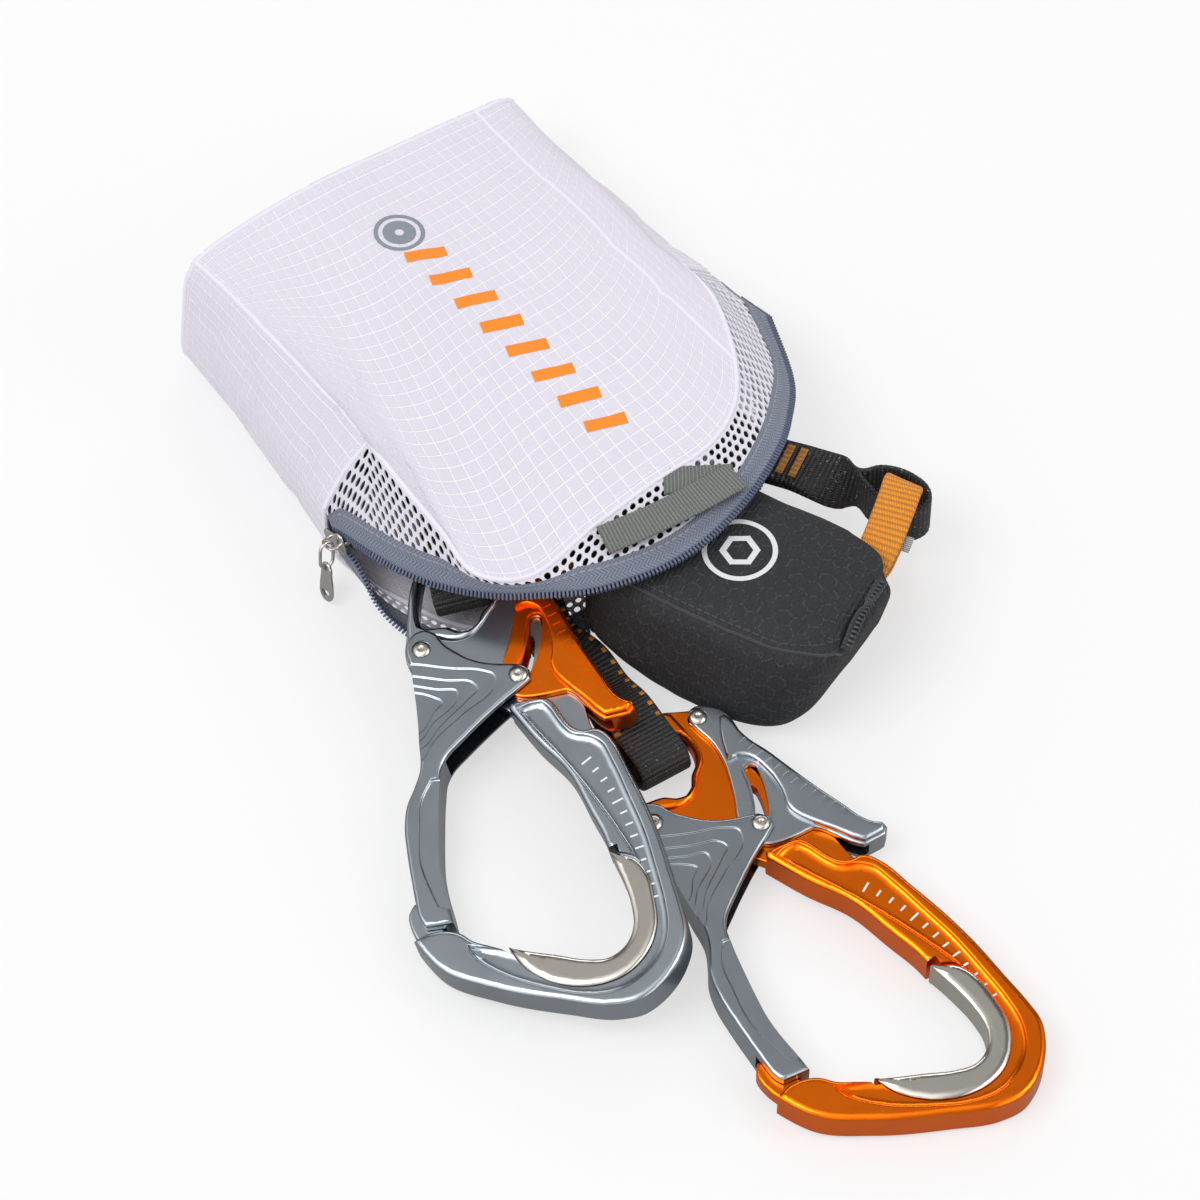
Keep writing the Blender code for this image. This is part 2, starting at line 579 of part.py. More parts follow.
def rivet(name, place, head_from, hub, finish):
    """A pin with a domed head at each end, headed just above the two seats."""
    u, v = place
    low = head_from
    high = head_from + HEAD_RISE
    side = (
        (0.0, high), (HEAD_RADIUS * 0.62, high - HEAD_RISE * 0.2), (HEAD_RADIUS, low + HEAD_RISE * 0.2),
        (HEAD_RADIUS, low), (PIN_RADIUS, low),
    )
    profile = list(side) + [(r, -z) for r, z in reversed(side)]
    mesh = bpy.data.meshes.new(name)
    mesh.from_pydata([(r, 0.0, z) for r, z in profile], [(i, i + 1) for i in range(len(profile) - 1)], [])
    made = add(name, mesh, hub, finish, (u, v, 0.0))
    turned = made.modifiers.new("turned", "SCREW")
    turned.steps = ROUND_SIDES
    turned.render_steps = ROUND_SIDES
    turned.use_merge_vertices = True
    turned.merge_threshold = GAP / 100
    return made


def spring(name, place, radius, turns, low, high, hub, finish):
    """A coil round a pin, between two heights."""
    count = turns * TURN_POINTS
    points = []
    for i in range(count + 1):
        angle = i / TURN_POINTS * math.tau
        z = low + SPRING_WIRE / 2 + (high - low - SPRING_WIRE) * i / count
        points.append((radius * math.cos(angle), radius * math.sin(angle), z))
    pitch = (high - low - SPRING_WIRE) / turns
    print(f"{name}: least gap between its turns {pitch - SPRING_WIRE:.5f} m")
    return tube(name, points, SPRING_WIRE / 2, hub, finish, place=(place[0], place[1], 0.0))


def slot_outline(path, half_width):
    """The outline of a slot with round ends along an open path."""
    line = [np.array(p, float) for p in path]
    left = offset_line(line, half_width)
    right = offset_line(line, -half_width)
    cap_angle = math.pi / 4
    result = list(right)
    for centre, start in ((line[-1], right[-1]), (line[0], left[0])):
        if start is left[0]:
            result.extend(reversed(left))
        arm = start - centre
        for k in range(1, 4):
            c, s = math.cos(cap_angle * k), math.sin(cap_angle * k)
            result.append(centre + np.array((arm[0] * c - arm[1] * s, arm[0] * s + arm[1] * c)))
    return result


def both_faces(name, outline, low, high, hub):
    """The same cut from the front and from the back."""
    return [
        plate(name + "_front", [outline], low, high, hub),
        plate(name + "_back", [outline], -high, -low, hub),
    ]


def build_carabiner(letter, hub, frame_finish, gate_finish, lever_finish, steel):
    """One palm-squeeze carabiner: frame, gate, lever, wear insert, three pins and two springs."""
    above = GATE_HALF + OVERRUN
    pivot = (0.0, 0.0)
    guide = tuple(value * PIVOT_TO_HEEL for value in GUIDE_PIN_SHARES)
    lever_pivot = tuple(value * PIVOT_TO_HEEL for value in LEVER_PIVOT_SHARES)
    bore = PIN_RADIUS + GAP
    insert_inner = smooth(
        metres((INSERT_OUTER_SHARES[-1],) + INSERT_INNER_SHARES + (INSERT_OUTER_SHARES[0],)),
        OUTLINE_STEP, closed=False,
    )
    insert_outer = smooth(metres(INSERT_OUTER_SHARES), OUTLINE_STEP, closed=False)
    insert_outline = insert_outer + insert_inner[1:-1]

    # Frame
    frame = plate(
        "frame_" + letter, [smooth(metres(HOOK_SHARES), OUTLINE_STEP)], -HOOK_HALF, HOOK_HALF, hub,
        frame_finish, chamfer=HOOK_CHAMFER,
    )
    eye = smooth(metres(EYE_SHARES), OUTLINE_STEP)
    head = plate("head_web_" + letter, [smooth(metres(HEAD_SHARES), OUTLINE_STEP), eye], -WEB_HALF, WEB_HALF, hub)
    ring = plate("eye_rim_" + letter, [smooth(metres(RING_SHARES), OUTLINE_STEP)], -RING_HALF, RING_HALF, hub)
    nose = plate("nose_" + letter, [smooth(metres(NOSE_SHARES), OUTLINE_STEP)], -NOSE_HALF, NOSE_HALF, hub)
    boolean(frame, [head, ring, nose], "UNION")
    seat_half = INSERT_HALF - INSERT_PLATE - GAP
    spring_from = WEB_HALF - SPRING_POCKET
    radius = math.hypot(*guide)
    first = math.atan2(guide[1], guide[0])
    arc = [first + GUIDE_TURN * k / 6 for k in range(7)]
    guide_path = [(radius * math.cos(a), radius * math.sin(a)) for a in arc]
    cuts = [plate("eye_cut_" + letter, [eye], -above, above, hub)]
    cuts += both_faces("groove_" + letter, smooth(metres(GROOVE_SHARES), OUTLINE_STEP), HOOK_HALF - GROOVE_DEPTH,
                       above, hub)
    seat_outer = offset_line(insert_outer, GAP)
    cuts += both_faces("insert_seat_" + letter, seat_outer + insert_inner[1:-1], seat_half, above, hub)
    seat_line = lengthened(insert_inner, GAP * 2)
    seat_far = offset_line(seat_line, INSERT_WALL)
    seat_near = offset_line(seat_line, -INSERT_WALL - GAP)
    cuts.append(plate("insert_wall_seat_" + letter, [seat_near + seat_far[::-1]], -above, above, hub))
    cuts.append(plate("guide_slot_" + letter, [slot_outline(guide_path, bore + GAP)], -above, above, hub))
    cuts.append(drum("pivot_bore_" + letter, bore, -above, above, hub))
    cuts.append(drum("gate_spring_pocket_" + letter, GATE_SPRING_RADIUS + SPRING_WIRE / 2 + GAP, spring_from,
                     above, hub))
    cuts.append(drum("lever_bore_" + letter, bore, -above, above, hub, lever_pivot))
    cuts.append(drum("lever_spring_pocket_" + letter, LEVER_SPRING_RADIUS + SPRING_WIRE / 2 + GAP, spring_from,
                     above, hub, lever_pivot))
    boolean(frame, cuts)

    # Gate
    gate = plate(
        "gate_" + letter, [smooth(metres(GATE_SHARES), OUTLINE_STEP)], -GATE_HALF, GATE_HALF, hub, gate_finish,
        chamfer=GATE_CHAMFER,
    )
    cuts = [
        plate("fork_" + letter, [metres(FORK_SHARES)], -GATE_SLOT_HALF, GATE_SLOT_HALF, hub),
        plate("tip_slot_" + letter, [metres(TIP_SLOT_SHARES)], -TIP_SLOT_HALF, TIP_SLOT_HALF, hub),
    ]
    for level, shares in enumerate(CHEVRON_SHARES):
        floor = GATE_HALF - GATE_STEP * (level + 1)
        cuts += both_faces(f"chevron_{level}_{letter}", metres(shares), floor, above, hub)
    cuts += both_faces("arm_recess_" + letter, metres(ARM_RECESS_SHARES), GATE_HALF - GATE_STEP * 3, above, hub)
    for place in (pivot, guide):
        cuts.append(drum("gate_bore", bore, -above, above, hub, place))
        for sign in (1, -1):
            ends = sorted((sign * (GATE_HALF - HEAD_SEAT), sign * above))
            cuts.append(drum("gate_seat", HEAD_RADIUS + GAP, *ends, hub, place))
    boolean(gate, cuts)

    # Lever
    lever = plate(
        "lever_" + letter, [smooth(metres(LEVER_SHARES), OUTLINE_STEP)], -LEVER_HALF, LEVER_HALF, hub,
        lever_finish, origin=lever_pivot,
    )
    rail = plate("rail_" + letter, [smooth(metres(RAIL_SHARES), OUTLINE_STEP)], -RAIL_HALF, RAIL_HALF, hub,
                 chamfer=HOOK_CHAMFER)
    boolean(lever, [rail], "UNION")
    slot_path = smooth(metres(LEVER_SLOT_SHARES), OUTLINE_STEP, closed=False)
    cuts = [
        plate("channel_" + letter, [metres(CHANNEL_SHARES)], -LEVER_CHANNEL_HALF, LEVER_CHANNEL_HALF, hub),
        plate("lever_slot_" + letter, [slot_outline(slot_path, bore + GAP / 2)], -above, above, hub),
        drum("lever_pin_bore", bore, -above, above, hub, lever_pivot),
    ]
    for sign in (1, -1):
        ends = sorted((sign * (LEVER_HALF - HEAD_SEAT), sign * above))
        cuts.append(drum("lever_seat", HEAD_RADIUS + GAP, *ends, hub, lever_pivot))
    boolean(lever, cuts)

    # Wear insert: a channel that wraps the frame in the basket
    insert = plate("steel_insert_" + letter, [insert_outline], -INSERT_HALF, INSERT_HALF, hub, steel)
    wall = offset_line(insert_inner, -INSERT_WALL)
    far = offset_line(insert_inner, -PIVOT_TO_HEEL / 4)
    core_half = INSERT_HALF - INSERT_PLATE
    boolean(insert, [plate("insert_core_" + letter, [list(wall) + list(reversed(far))], -core_half, core_half, hub)])

    # Pins and springs
    rivet("gate_rivet_" + letter, pivot, GATE_HALF - HEAD_SEAT + GAP, hub, steel)
    rivet("guide_pin_" + letter, guide, GATE_HALF - HEAD_SEAT + GAP, hub, steel)
    rivet("lever_rivet_" + letter, lever_pivot, LEVER_HALF - HEAD_SEAT + GAP, hub, steel)
    spring("gate_spring_" + letter, pivot, GATE_SPRING_RADIUS, GATE_SPRING_TURNS, spring_from + GAP,
           GATE_SLOT_HALF - GAP, hub, steel)
    spring("lever_spring_" + letter, lever_pivot, LEVER_SPRING_RADIUS, LEVER_SPRING_TURNS, spring_from + GAP,
           WEB_HALF, hub, steel)


def bag_point(share):
    """A point of the bag's tables in the layout plane."""
    l, w, z = (value * BAG_SPAN for value in share)
    c, s = math.cos(BAG_TURN), math.sin(BAG_TURN)
    return Vector((BAG_ORIGIN_X + l * c - w * s, BAG_ORIGIN_Y + l * s + w * c, z))


def bag_direction(l, w, z=0.0):
    c, s = math.cos(BAG_TURN), math.sin(BAG_TURN)
    return Vector((l * c - w * s, l * s + w * c, z)).normalized()


def bag_lines(far_shares, seam_shares, zip_shares):
    """The far seam, the seam and the zip of one half of the bag, smoothed together column for column."""
    columns = [
        np.concatenate([np.array(bag_point(p)) for p in column])
        for column in zip(far_shares, seam_shares, zip_shares)
    ]
    rows = smooth(columns, BAG_STEP, closed=False)
    return [[Vector((row[k], row[k + 1], max(row[k + 2], CLOTH / 2))) for row in rows] for k in (0, 3, 6)]


def slant(line, i, ahead):
    """How much longer a step is along a direction than straight away from a line."""
    tangent = (line[min(i + 1, len(line) - 1)] - line[max(i - 1, 0)]).normalized()
    return 1.0 / math.sqrt(max(0.2, 1.0 - tangent.dot(ahead) ** 2))


def build_bag(hub, cloth, mesh_cloth, tape, coil, ribbon):
    """The bag's cloth body, far panel, mesh gussets, zip tapes, teeth and hang loop."""
    halves = [bag_lines(FAR_UPPER_SHARES, UPPER_SEAM_SHARES, UPPER_ZIP_SHARES),
              bag_lines(FAR_LOWER_SHARES, LOWER_SEAM_SHARES, LOWER_ZIP_SHARES)]
    far = halves[0][0] + halves[1][0][::-1]
    seam = halves[0][1] + halves[1][1][::-1]
    top = len(halves[0][0])
    rows = []
    for i in range(BAG_STATIONS):
        t = i / (BAG_STATIONS - 1)
        row = [a.lerp(b, t) for a, b in zip(far, seam)]
        for j in range(top):
            row[j].z += BAG_CROWN * math.sin(math.pi * t) * math.sin(math.pi * j / (top - 1))
        rows.append(row)
    sheet("bag_body", rows, CLOTH, hub, cloth, closed=True)

    # Far panel: the far seam's ring drawn in and bulged outwards
    outward = bag_direction(-1.0, 0.0)
    middle = sum(far, Vector()) / len(far)
    rings = []
    for share in (1.0, 0.65, 0.25):
        bulge = CLOTH / 2 + GAP + BASE_BULGE * (1.0 - share**2)
        rings.append([middle.lerp(p, share) + outward * bulge for p in far])
    sheet("bag_far_panel", rings, CLOTH, hub, cloth, closed=True, capped=True)

    for side, (_, seam_line, zip_line) in zip(("upper", "lower"), halves):
        gusset, band = [], []
        for i, (a, b) in enumerate(zip(seam_line, zip_line)):
            reach = (b - a).length
            ahead = (b - a) / reach
            zip_off = (TEETH_RADIUS + GAP) * slant(zip_line, i, ahead)
            width = min(TAPE_WIDTH, reach * 0.45)
            inner = b - ahead * (width + zip_off)
            start = a + ahead * SEAM_GAP * slant(seam_line, i, ahead)
            gusset.append((start, (start + inner) / 2, inner - ahead * GAP))
            band.append((inner, b - ahead * zip_off))
        sheet(f"bag_mesh_{side}", list(zip(*gusset)), CLOTH, hub, mesh_cloth)
        sheet(f"zip_tape_{side}", list(zip(*band)), TAPE_THICKNESS, hub, tape)
        tube(f"zip_teeth_{side}", [tuple(p) for p in zip_line], TEETH_RADIUS, hub, coil)

    loop = [bag_point(p) for p in HANG_LOOP_SHARES]
    strap("hang_loop", along(loop, [bag_direction(1.0, 0.0)] * len(loop), OUTLINE_STEP), HANG_LOOP_WIDTH,
          TAPE_THICKNESS, hub, ribbon)


def build_slider(hub, steel):
    """The zip's slider on its own place, and the ring and tab that hang from its bail."""
    level = bag_direction(1.0, 0.0)
    outward = bag_direction(0.0, -1.0)
    ahead = (level * math.cos(SLIDER_TILT) + Vector((0.0, 0.0, math.sin(SLIDER_TILT)))).normalized()
    turn = Matrix((ahead, outward.cross(ahead), outward)).transposed().to_4x4()
    place = empty("slider_place", Matrix.Translation(bag_point(SLIDER_PLACE_SHARES)) @ turn, hub)
    half = SLIDER_MOUTH / 2
    foot = half + SLIDER_PLATE / 2
    slider = box("zip_slider", (SLIDER_LENGTH, SLIDER_WIDTH, SLIDER_PLATE), place, (0.0, 0.0, foot), steel,
                 bevel=SLIDER_PLATE / 4)
    back = box("slider_back", (SLIDER_LENGTH, SLIDER_WIDTH, SLIDER_PLATE), place, (0.0, 0.0, -foot),
               bevel=SLIDER_PLATE / 4)
    post = box("slider_post", (SLIDER_POST, SLIDER_POST, SLIDER_MOUTH + SLIDER_PLATE), place,
               (SLIDER_LENGTH / 2 - SLIDER_POST, 0.0, 0.0))
    top = half + SLIDER_PLATE + BAIL_RISE
    span = SLIDER_LENGTH * BAIL_SPAN_SHARE
    bail = tube("slider_bail", [(-span, 0.0, foot), (-span, 0.0, top), (span, 0.0, top), (span, 0.0, foot)],
                PULL_WIRE, place)
    boolean(slider, [back, post, bail], "UNION")

    # The pull's place: the bail's bar along X, and the way the pull hangs along -Y
    hang = Matrix.Rotation(-PULL_LIFT, 4, "X")
    pull = empty("pull_place", Matrix.Translation((0.0, 0.0, top)) @ hang, place)
    radius = PULL_RING_WIDTH / 2
    near = PULL_WIRE * 2 + GAP - radius
    far = near + radius * 2 - PULL_RING_LENGTH
    ends = []
    for middle, start in ((near, 0.0), (far, math.pi)):
        for k in range(RING_END_POINTS + 1):
            angle = start + math.pi * k / RING_END_POINTS
            ends.append((0.0, middle + radius * math.sin(angle), radius * math.cos(angle)))
    tube("pull_ring", ends, PULL_WIRE, pull, steel, closed=True)
    hole = far - radius
    width = PULL_TAB_WIDTH
    tab = [(u * width, hole + v * PULL_TAB_LENGTH) for u, v in TAB_SHARES]
    bore = PULL_WIRE * 1.6 + GAP
    eye = [(bore * math.cos(a), hole + bore * math.sin(a)) for a in np.linspace(0, math.tau, ROUND_SIDES + 1)[:-1]]
    plate("pull_tab", [tab, eye], -PULL_TAB_THICKNESS / 2, PULL_TAB_THICKNESS / 2, pull, steel)


def build_arm(letter, hub, carabiner, shares_in, lane, near, shares_out, skew, finish):
    """One webbing arm: out of the pouch, folded in the bag, and round the eye of its carabiner."""
    across = bag_direction(0.0, 1.0)
    inward = [bag_point(p) for p in shares_in]
    first = (near, lane * BAG_SPAN, ARM_LOWEST)
    ahead = bag_direction(0.92, -0.38)
    side = Vector((-ahead.y, ahead.x, 0.0))
    spread = [side] * (len(inward) - 1) + [across] * 2
    stations = along(inward + [bag_point([v / BAG_SPAN for v in first])], spread, WEBBING_WIDTH)
    for run in range(ARM_RUNS):
        height = ARM_LOWEST + run * ARM_RUN_PITCH
        outgoing = run % 2 == 1
        ends = (ARM_RUN_FAR, near) if outgoing else (near, ARM_RUN_FAR)
        start = 1 if run == 0 else 0
        for k in range(start, 4):
            l = ends[0] + (ends[1] - ends[0]) * k / 3
            stations.append((bag_point((l / BAG_SPAN, lane, height / BAG_SPAN)), across))
        if run < ARM_RUNS - 1:
            for k in range(1, 4):
                angle = math.pi * k / 4 - math.pi / 2
                reach = math.cos(angle) * ARM_RUN_PITCH / 2 * (1 if outgoing else -1)
                rise = height + ARM_RUN_PITCH / 2 * (1 + math.sin(angle))
                stations.append((bag_point(((ends[1] + reach) / BAG_SPAN, lane, rise / BAG_SPAN)), across))
    rest = carabiner.matrix_local
    turned = Vector((math.cos(skew), math.sin(skew), 0.0))
    upward = Vector((-math.sin(skew), math.cos(skew), 0.0))
    bar = Vector((EYE_ACROSS, EYE_BAR_ALONG, 0.0))
    eye_across = (rest.to_3x3() @ turned).normalized()
    layer = EYE_GAP + WEBBING_THICKNESS / 2
    joined = WEBBING_THICKNESS / 2 + GAP
    low = EYE_BIGHT - EYE_BAR_ALONG
    join = EYE_JOIN - EYE_BAR_ALONG
    loop = [(join, joined), (join * 0.45, layer), (low / 2, layer)]
    loop += [(low - layer * math.cos(a), layer * math.sin(a)) for a in np.linspace(math.pi / 2, -math.pi / 2, 9)]
    loop += [(low / 2, -layer), (join * 0.45, -layer), (join, -joined), (join + EYE_TAIL, -joined)]
    eye = [(rest @ (bar + upward * s + Vector((0.0, 0.0, z))), eye_across) for s, z in loop]
    lead = rest @ (bar + upward * (join + EYE_TAIL) + Vector((0.0, 0.0, joined)))
    last = stations.pop()
    route = [last[0]] + [bag_point(p) for p in shares_out] + [lead, eye[0][0]]
    spread = [across] * (1 + len(shares_out)) + [eye_across] * 2
    stations += along(route, spread, WEBBING_WIDTH)[:-1] + eye
    strap("arm_" + letter, stations, WEBBING_WIDTH, WEBBING_THICKNESS, hub, finish)
    length = sum((b[0] - a[0]).length for a, b in zip(stations, stations[1:]))
    print(f"arm_{letter}: {length:.3f} m of webbing")


def pouch_point(x, y, z):
    """A point of the pouch's own frame, from its middle, in the layout plane."""
    c, s = math.cos(POUCH_TURN), math.sin(POUCH_TURN)
    return Vector((POUCH_X + x * c - y * s, POUCH_Y + x * s + y * c, POUCH_HEIGHT / 2 + POUCH_WALL / 2 + GAP + z))


def pouch_surface(x, y, z, off=0.0):
    """The point of the crowned cover that lies over a point of a cube of two units."""
    scale = sum(abs(v) ** POUCH_SQUARENESS for v in (x, y, z)) ** (-1 / POUCH_SQUARENESS)
    x, y, z = x * scale, y * scale, z * scale
    lean = POUCH_FRONT_LEAN * z * (1 - y) / 2
    end = (POUCH_END_SLANT * (y - 1) + POUCH_END_LEAN * (z - 1)) / 2 * (1 + x) / 2
    lifted = min(1.0, max(0.0, (POUCH_LIP_FROM - x) / POUCH_LIP_SPAN)) * max(0.0, -z)
    rise = lifted * (POUCH_LIP_RISE + POUCH_ARM_RISE * max(0.0, -y))
    return pouch_point(
        x * (POUCH_LENGTH / 2 + off) + end, y * (POUCH_DEPTH / 2 + off) + lean, z * (POUCH_HEIGHT / 2 + off) + rise
    )


def build_pouch(hub, cloth, webbing, coil):
    """The pouch's cover as a crowned shell, open where the straps pass, its zip and the folded absorber."""
    cage = bmesh.new()
    bmesh.ops.create_cube(cage, size=2.0)
    bmesh.ops.subdivide_edges(cage, edges=cage.edges, cuts=POUCH_CUTS, use_grid_fill=True)
    open_faces = []
    for face in cage.faces:
        x, y, z = face.calc_center_median()
        arms = x < -0.9 and abs(y) < 0.45 and -0.9 < z < 0.1
        loops = (x > 0.9 and y > 0.7 or y > 0.9 and x > 0.7) and -0.7 < z
        if arms or loops:
            open_faces.append(face)
    bmesh.ops.delete(cage, geom=open_faces, context="FACES")
    for vertex in cage.verts:
        x, y, z = vertex.co
        vertex.co = pouch_surface(math.copysign(abs(x) ** POUCH_COLUMN_POWER, x), y, z)
    mesh = bpy.data.meshes.new("pouch_cover")
    cage.to_mesh(mesh)
    cage.free()
    cover = add("pouch_cover", mesh, hub, cloth)
    rounding = cover.modifiers.new("rounding", "SUBSURF")
    rounding.levels = 1
    rounding.render_levels = 1
    solidify(cover, POUCH_WALL)

    # The absorber: tear webbing folded into a block, with its layers held together by the pouch
    stations = []
    across = (pouch_point(0.0, 1.0, 0.0) - pouch_point(0.0, 0.0, 0.0)).normalized()
    for run in range(PACK_LAYERS):
        height = (run - (PACK_LAYERS - 1) / 2) * PACK_PITCH
        sign = 1 if run % 2 else -1
        for k in (-1, 1):
            stations.append((pouch_point(PACK_SHIFT - k * sign * PACK_LENGTH / 2, 0.0, height), across))
        if run < PACK_LAYERS - 1:
            for k in range(1, 4):
                angle = math.pi * k / 4 - math.pi / 2
                reach = PACK_SHIFT - sign * (PACK_LENGTH / 2 + math.cos(angle) * PACK_PITCH / 2)
                rise = height + PACK_PITCH / 2 * (1 + math.sin(angle))
                stations.append((pouch_point(reach, 0.0, rise), across))
    strap("absorber_webbing", stations, PACK_WIDTH, WEBBING_THICKNESS, hub, webbing)

    # The zip down the pouch's end, laid on the crowned cover
    stations = []
    for y, z in POUCH_ZIP_SHARES:
        here = pouch_surface(1.0, y, z, POUCH_ZIP_OFF)
        outward = here - pouch_surface(1.0, y, z)
        ahead = pouch_surface(1.0, y, z - 0.1, POUCH_ZIP_OFF) - here
        stations.append((here, outward.cross(ahead).normalized()))
    strap("pouch_zip", stations, POUCH_ZIP_WIDTH, TAPE_THICKNESS, hub, coil)


def build_loops(hub, amber, black, label):
    """The attachment loop, the rest loop that is threaded round it, its bar tacks and the sewn label."""
    points = [Vector(p) for p in ATTACHMENT_ROUTE]
    spread = [Vector((math.cos(math.radians(a)), math.sin(math.radians(a)), 0.0)) for a in ATTACHMENT_DEGREES]
    strap("attachment_loop", along(points, spread, WEBBING_STEP), ATTACHMENT_WIDTH, ATTACHMENT_THICKNESS, hub,
          amber)

    # The two layers of the rest loop lie flat on each other, turn on edge together and part into a ring
    pair = [bag_point(p) for p in REST_END_SHARES] + [Vector(p) for p in REST_PAIR_ROUTE]
    offset = WEBBING_THICKNESS / 2 + GAP
    upper, lower = [], []
    for i, (here, turn) in enumerate(zip(pair, REST_TURN_SHARES)):
        tangent = (pair[min(i + 1, len(pair) - 1)] - pair[max(i - 1, 0)]).normalized()
        side = Vector((-tangent.y, tangent.x, 0.0)).normalized()
        rise = tangent.cross(side)
        angle = turn * math.pi / 2
        across = side * math.cos(angle) - rise * math.sin(angle)
        normal = rise * math.cos(angle) + side * math.sin(angle)
        upper.append((here + normal * offset, across))
        lower.append((here - normal * offset, across))
    ring = [(Vector(p), upper[-1][1]) for p in REST_RING_ROUTE]
    every = upper + ring + lower[::-1]
    stations = along([c for c, a in every], [a for c, a in every], WEBBING_STEP)
    strap("rest_loop", stations, WEBBING_WIDTH, WEBBING_THICKNESS, hub, black)

    lift = offset + WEBBING_THICKNESS / 2 + GAP + TACK_THICKNESS / 2
    start, end = Vector(REST_PAIR_ROUTE[0]), Vector(REST_PAIR_ROUTE[1])
    ahead = (end - start).normalized()
    side = Vector((-ahead.y, ahead.x, 0.0)).normalized()
    rise = ahead.cross(side)
    for number, share in enumerate(TACK_SHARES):
        middle = start.lerp(end, share) + rise * lift
        ends = [(middle + ahead * TACK_LENGTH * k, side) for k in (-0.5, 0.5)]
        strap(f"bar_tack_{number + 1}", ends, TACK_WIDTH, TACK_THICKNESS, hub, amber)

    # The label: a flag under the upper run of the attachment loop, out past its edge
    start, end = points[LABEL_FROM], points[LABEL_FROM + 1]
    ahead = (end - start).normalized()
    side = spread[LABEL_FROM]
    under = ahead.cross(side) * (ATTACHMENT_THICKNESS / 2 + GAP + LABEL_THICKNESS / 2)
    middle = start.lerp(end, 0.5) + under + side * LABEL_OUT
    ends = [(middle + ahead * LABEL_LENGTH * k, side) for k in (-0.5, 0.5)]
    strap("loop_label", ends, LABEL_WIDTH, LABEL_THICKNESS, hub, label)


def clear_scene():
    for item in list(bpy.data.objects):
        bpy.data.objects.remove(item)


clear_scene()
PARTS = collection("via_ferrata_lanyard")
CUTTERS = collection("cutters")
GREY = material("grey_anodised", (0.17, 0.20, 0.22), 0.32, 0.9)
ORANGE = material("orange_anodised", (0.80, 0.16, 0.02), 0.30, 0.9)
STEEL = material("satin_steel", (0.60, 0.58, 0.54), 0.35, 1.0)
CLOTH_WHITE = material("white_ripstop", (0.80, 0.79, 0.86), 0.8)
MESH_WHITE = material("white_mesh", (0.86, 0.85, 0.92), 0.85)
TAPE_GREY = material("zip_tape", (0.19, 0.20, 0.27), 0.85)
COIL_GREY = material("zip_coil", (0.10, 0.12, 0.20), 0.5)
RIBBON = material("hang_ribbon", (0.22, 0.24, 0.22), 0.85)
BLACK = material("black_webbing", (0.015, 0.015, 0.017), 0.8)
AMBER = material("orange_webbing", (0.85, 0.33, 0.02), 0.8)
POUCH = material("pouch_cloth", (0.028, 0.029, 0.031), 0.75)
NICKEL = material("nickel", (0.62, 0.60, 0.56), 0.25, 1.0)

ROOT = empty("lanyard_place", Matrix.Translation((-CENTRE_X, -CENTRE_Y, 0.0)))
GREY_HUB = empty(
    "carabiner_a_place",
    placed(GREY_PIVOT_X, GREY_PIVOT_Y, GREY_PIVOT_Z, GREY_TURN, GREY_RISE_ACROSS, GREY_RISE_ALONG), ROOT,
)
ORANGE_HUB = empty(
    "carabiner_b_place",
    placed(ORANGE_PIVOT_X, ORANGE_PIVOT_Y, ORANGE_PIVOT_Z, ORANGE_TURN, ORANGE_RISE_ACROSS, ORANGE_RISE_ALONG),
    ROOT,
)
build_carabiner("a", GREY_HUB, GREY, GREY, ORANGE, STEEL)
build_carabiner("b", ORANGE_HUB, ORANGE, GREY, GREY, STEEL)
build_bag(ROOT, CLOTH_WHITE, MESH_WHITE, TAPE_GREY, COIL_GREY, RIBBON)
build_slider(ROOT, NICKEL)
build_arm("a", ROOT, GREY_HUB, ARM_A_IN_SHARES, ARM_A_LANE_SHARE, ARM_A_RUN_NEAR, ARM_A_OUT_SHARES, ARM_A_SKEW,
          BLACK)
build_arm("b", ROOT, ORANGE_HUB, ARM_B_IN_SHARES, ARM_B_LANE_SHARE, ARM_B_RUN_NEAR, ARM_B_OUT_SHARES,
          ARM_B_SKEW, BLACK)
build_pouch(ROOT, POUCH, BLACK, COIL_GREY)
build_loops(ROOT, AMBER, BLACK, MESH_WHITE)
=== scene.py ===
"""Looks of a via ferrata lanyard, laid out as an add-on: two palm-squeeze carabiners, their webbing arms,
the absorber's pouch and loops, and a ripstop storage bag with a mesh mouth. Metres, +Z up."""

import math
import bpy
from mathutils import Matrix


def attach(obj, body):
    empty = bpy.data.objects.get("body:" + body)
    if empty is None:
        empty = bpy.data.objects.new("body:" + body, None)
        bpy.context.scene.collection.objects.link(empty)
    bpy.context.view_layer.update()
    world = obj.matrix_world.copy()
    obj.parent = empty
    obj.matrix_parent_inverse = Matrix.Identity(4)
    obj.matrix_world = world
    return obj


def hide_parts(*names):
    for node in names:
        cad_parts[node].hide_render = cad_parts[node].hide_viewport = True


bl_info = {
    "name": "Via ferrata lanyard",
    "version": (1, 0, 0),
    "blender": (4, 5, 0),
    "location": "View3D > Sidebar > Lanyard",
    "description": "Dresses the lanyard's solids with detailed pieces and finishes",
    "category": "Object",
}

import bmesh
import bpy
import numpy as np
from bpy.props import FloatProperty, FloatVectorProperty, IntProperty, PointerProperty
from mathutils import Matrix, Vector, noise
from mathutils.bvhtree import BVHTree

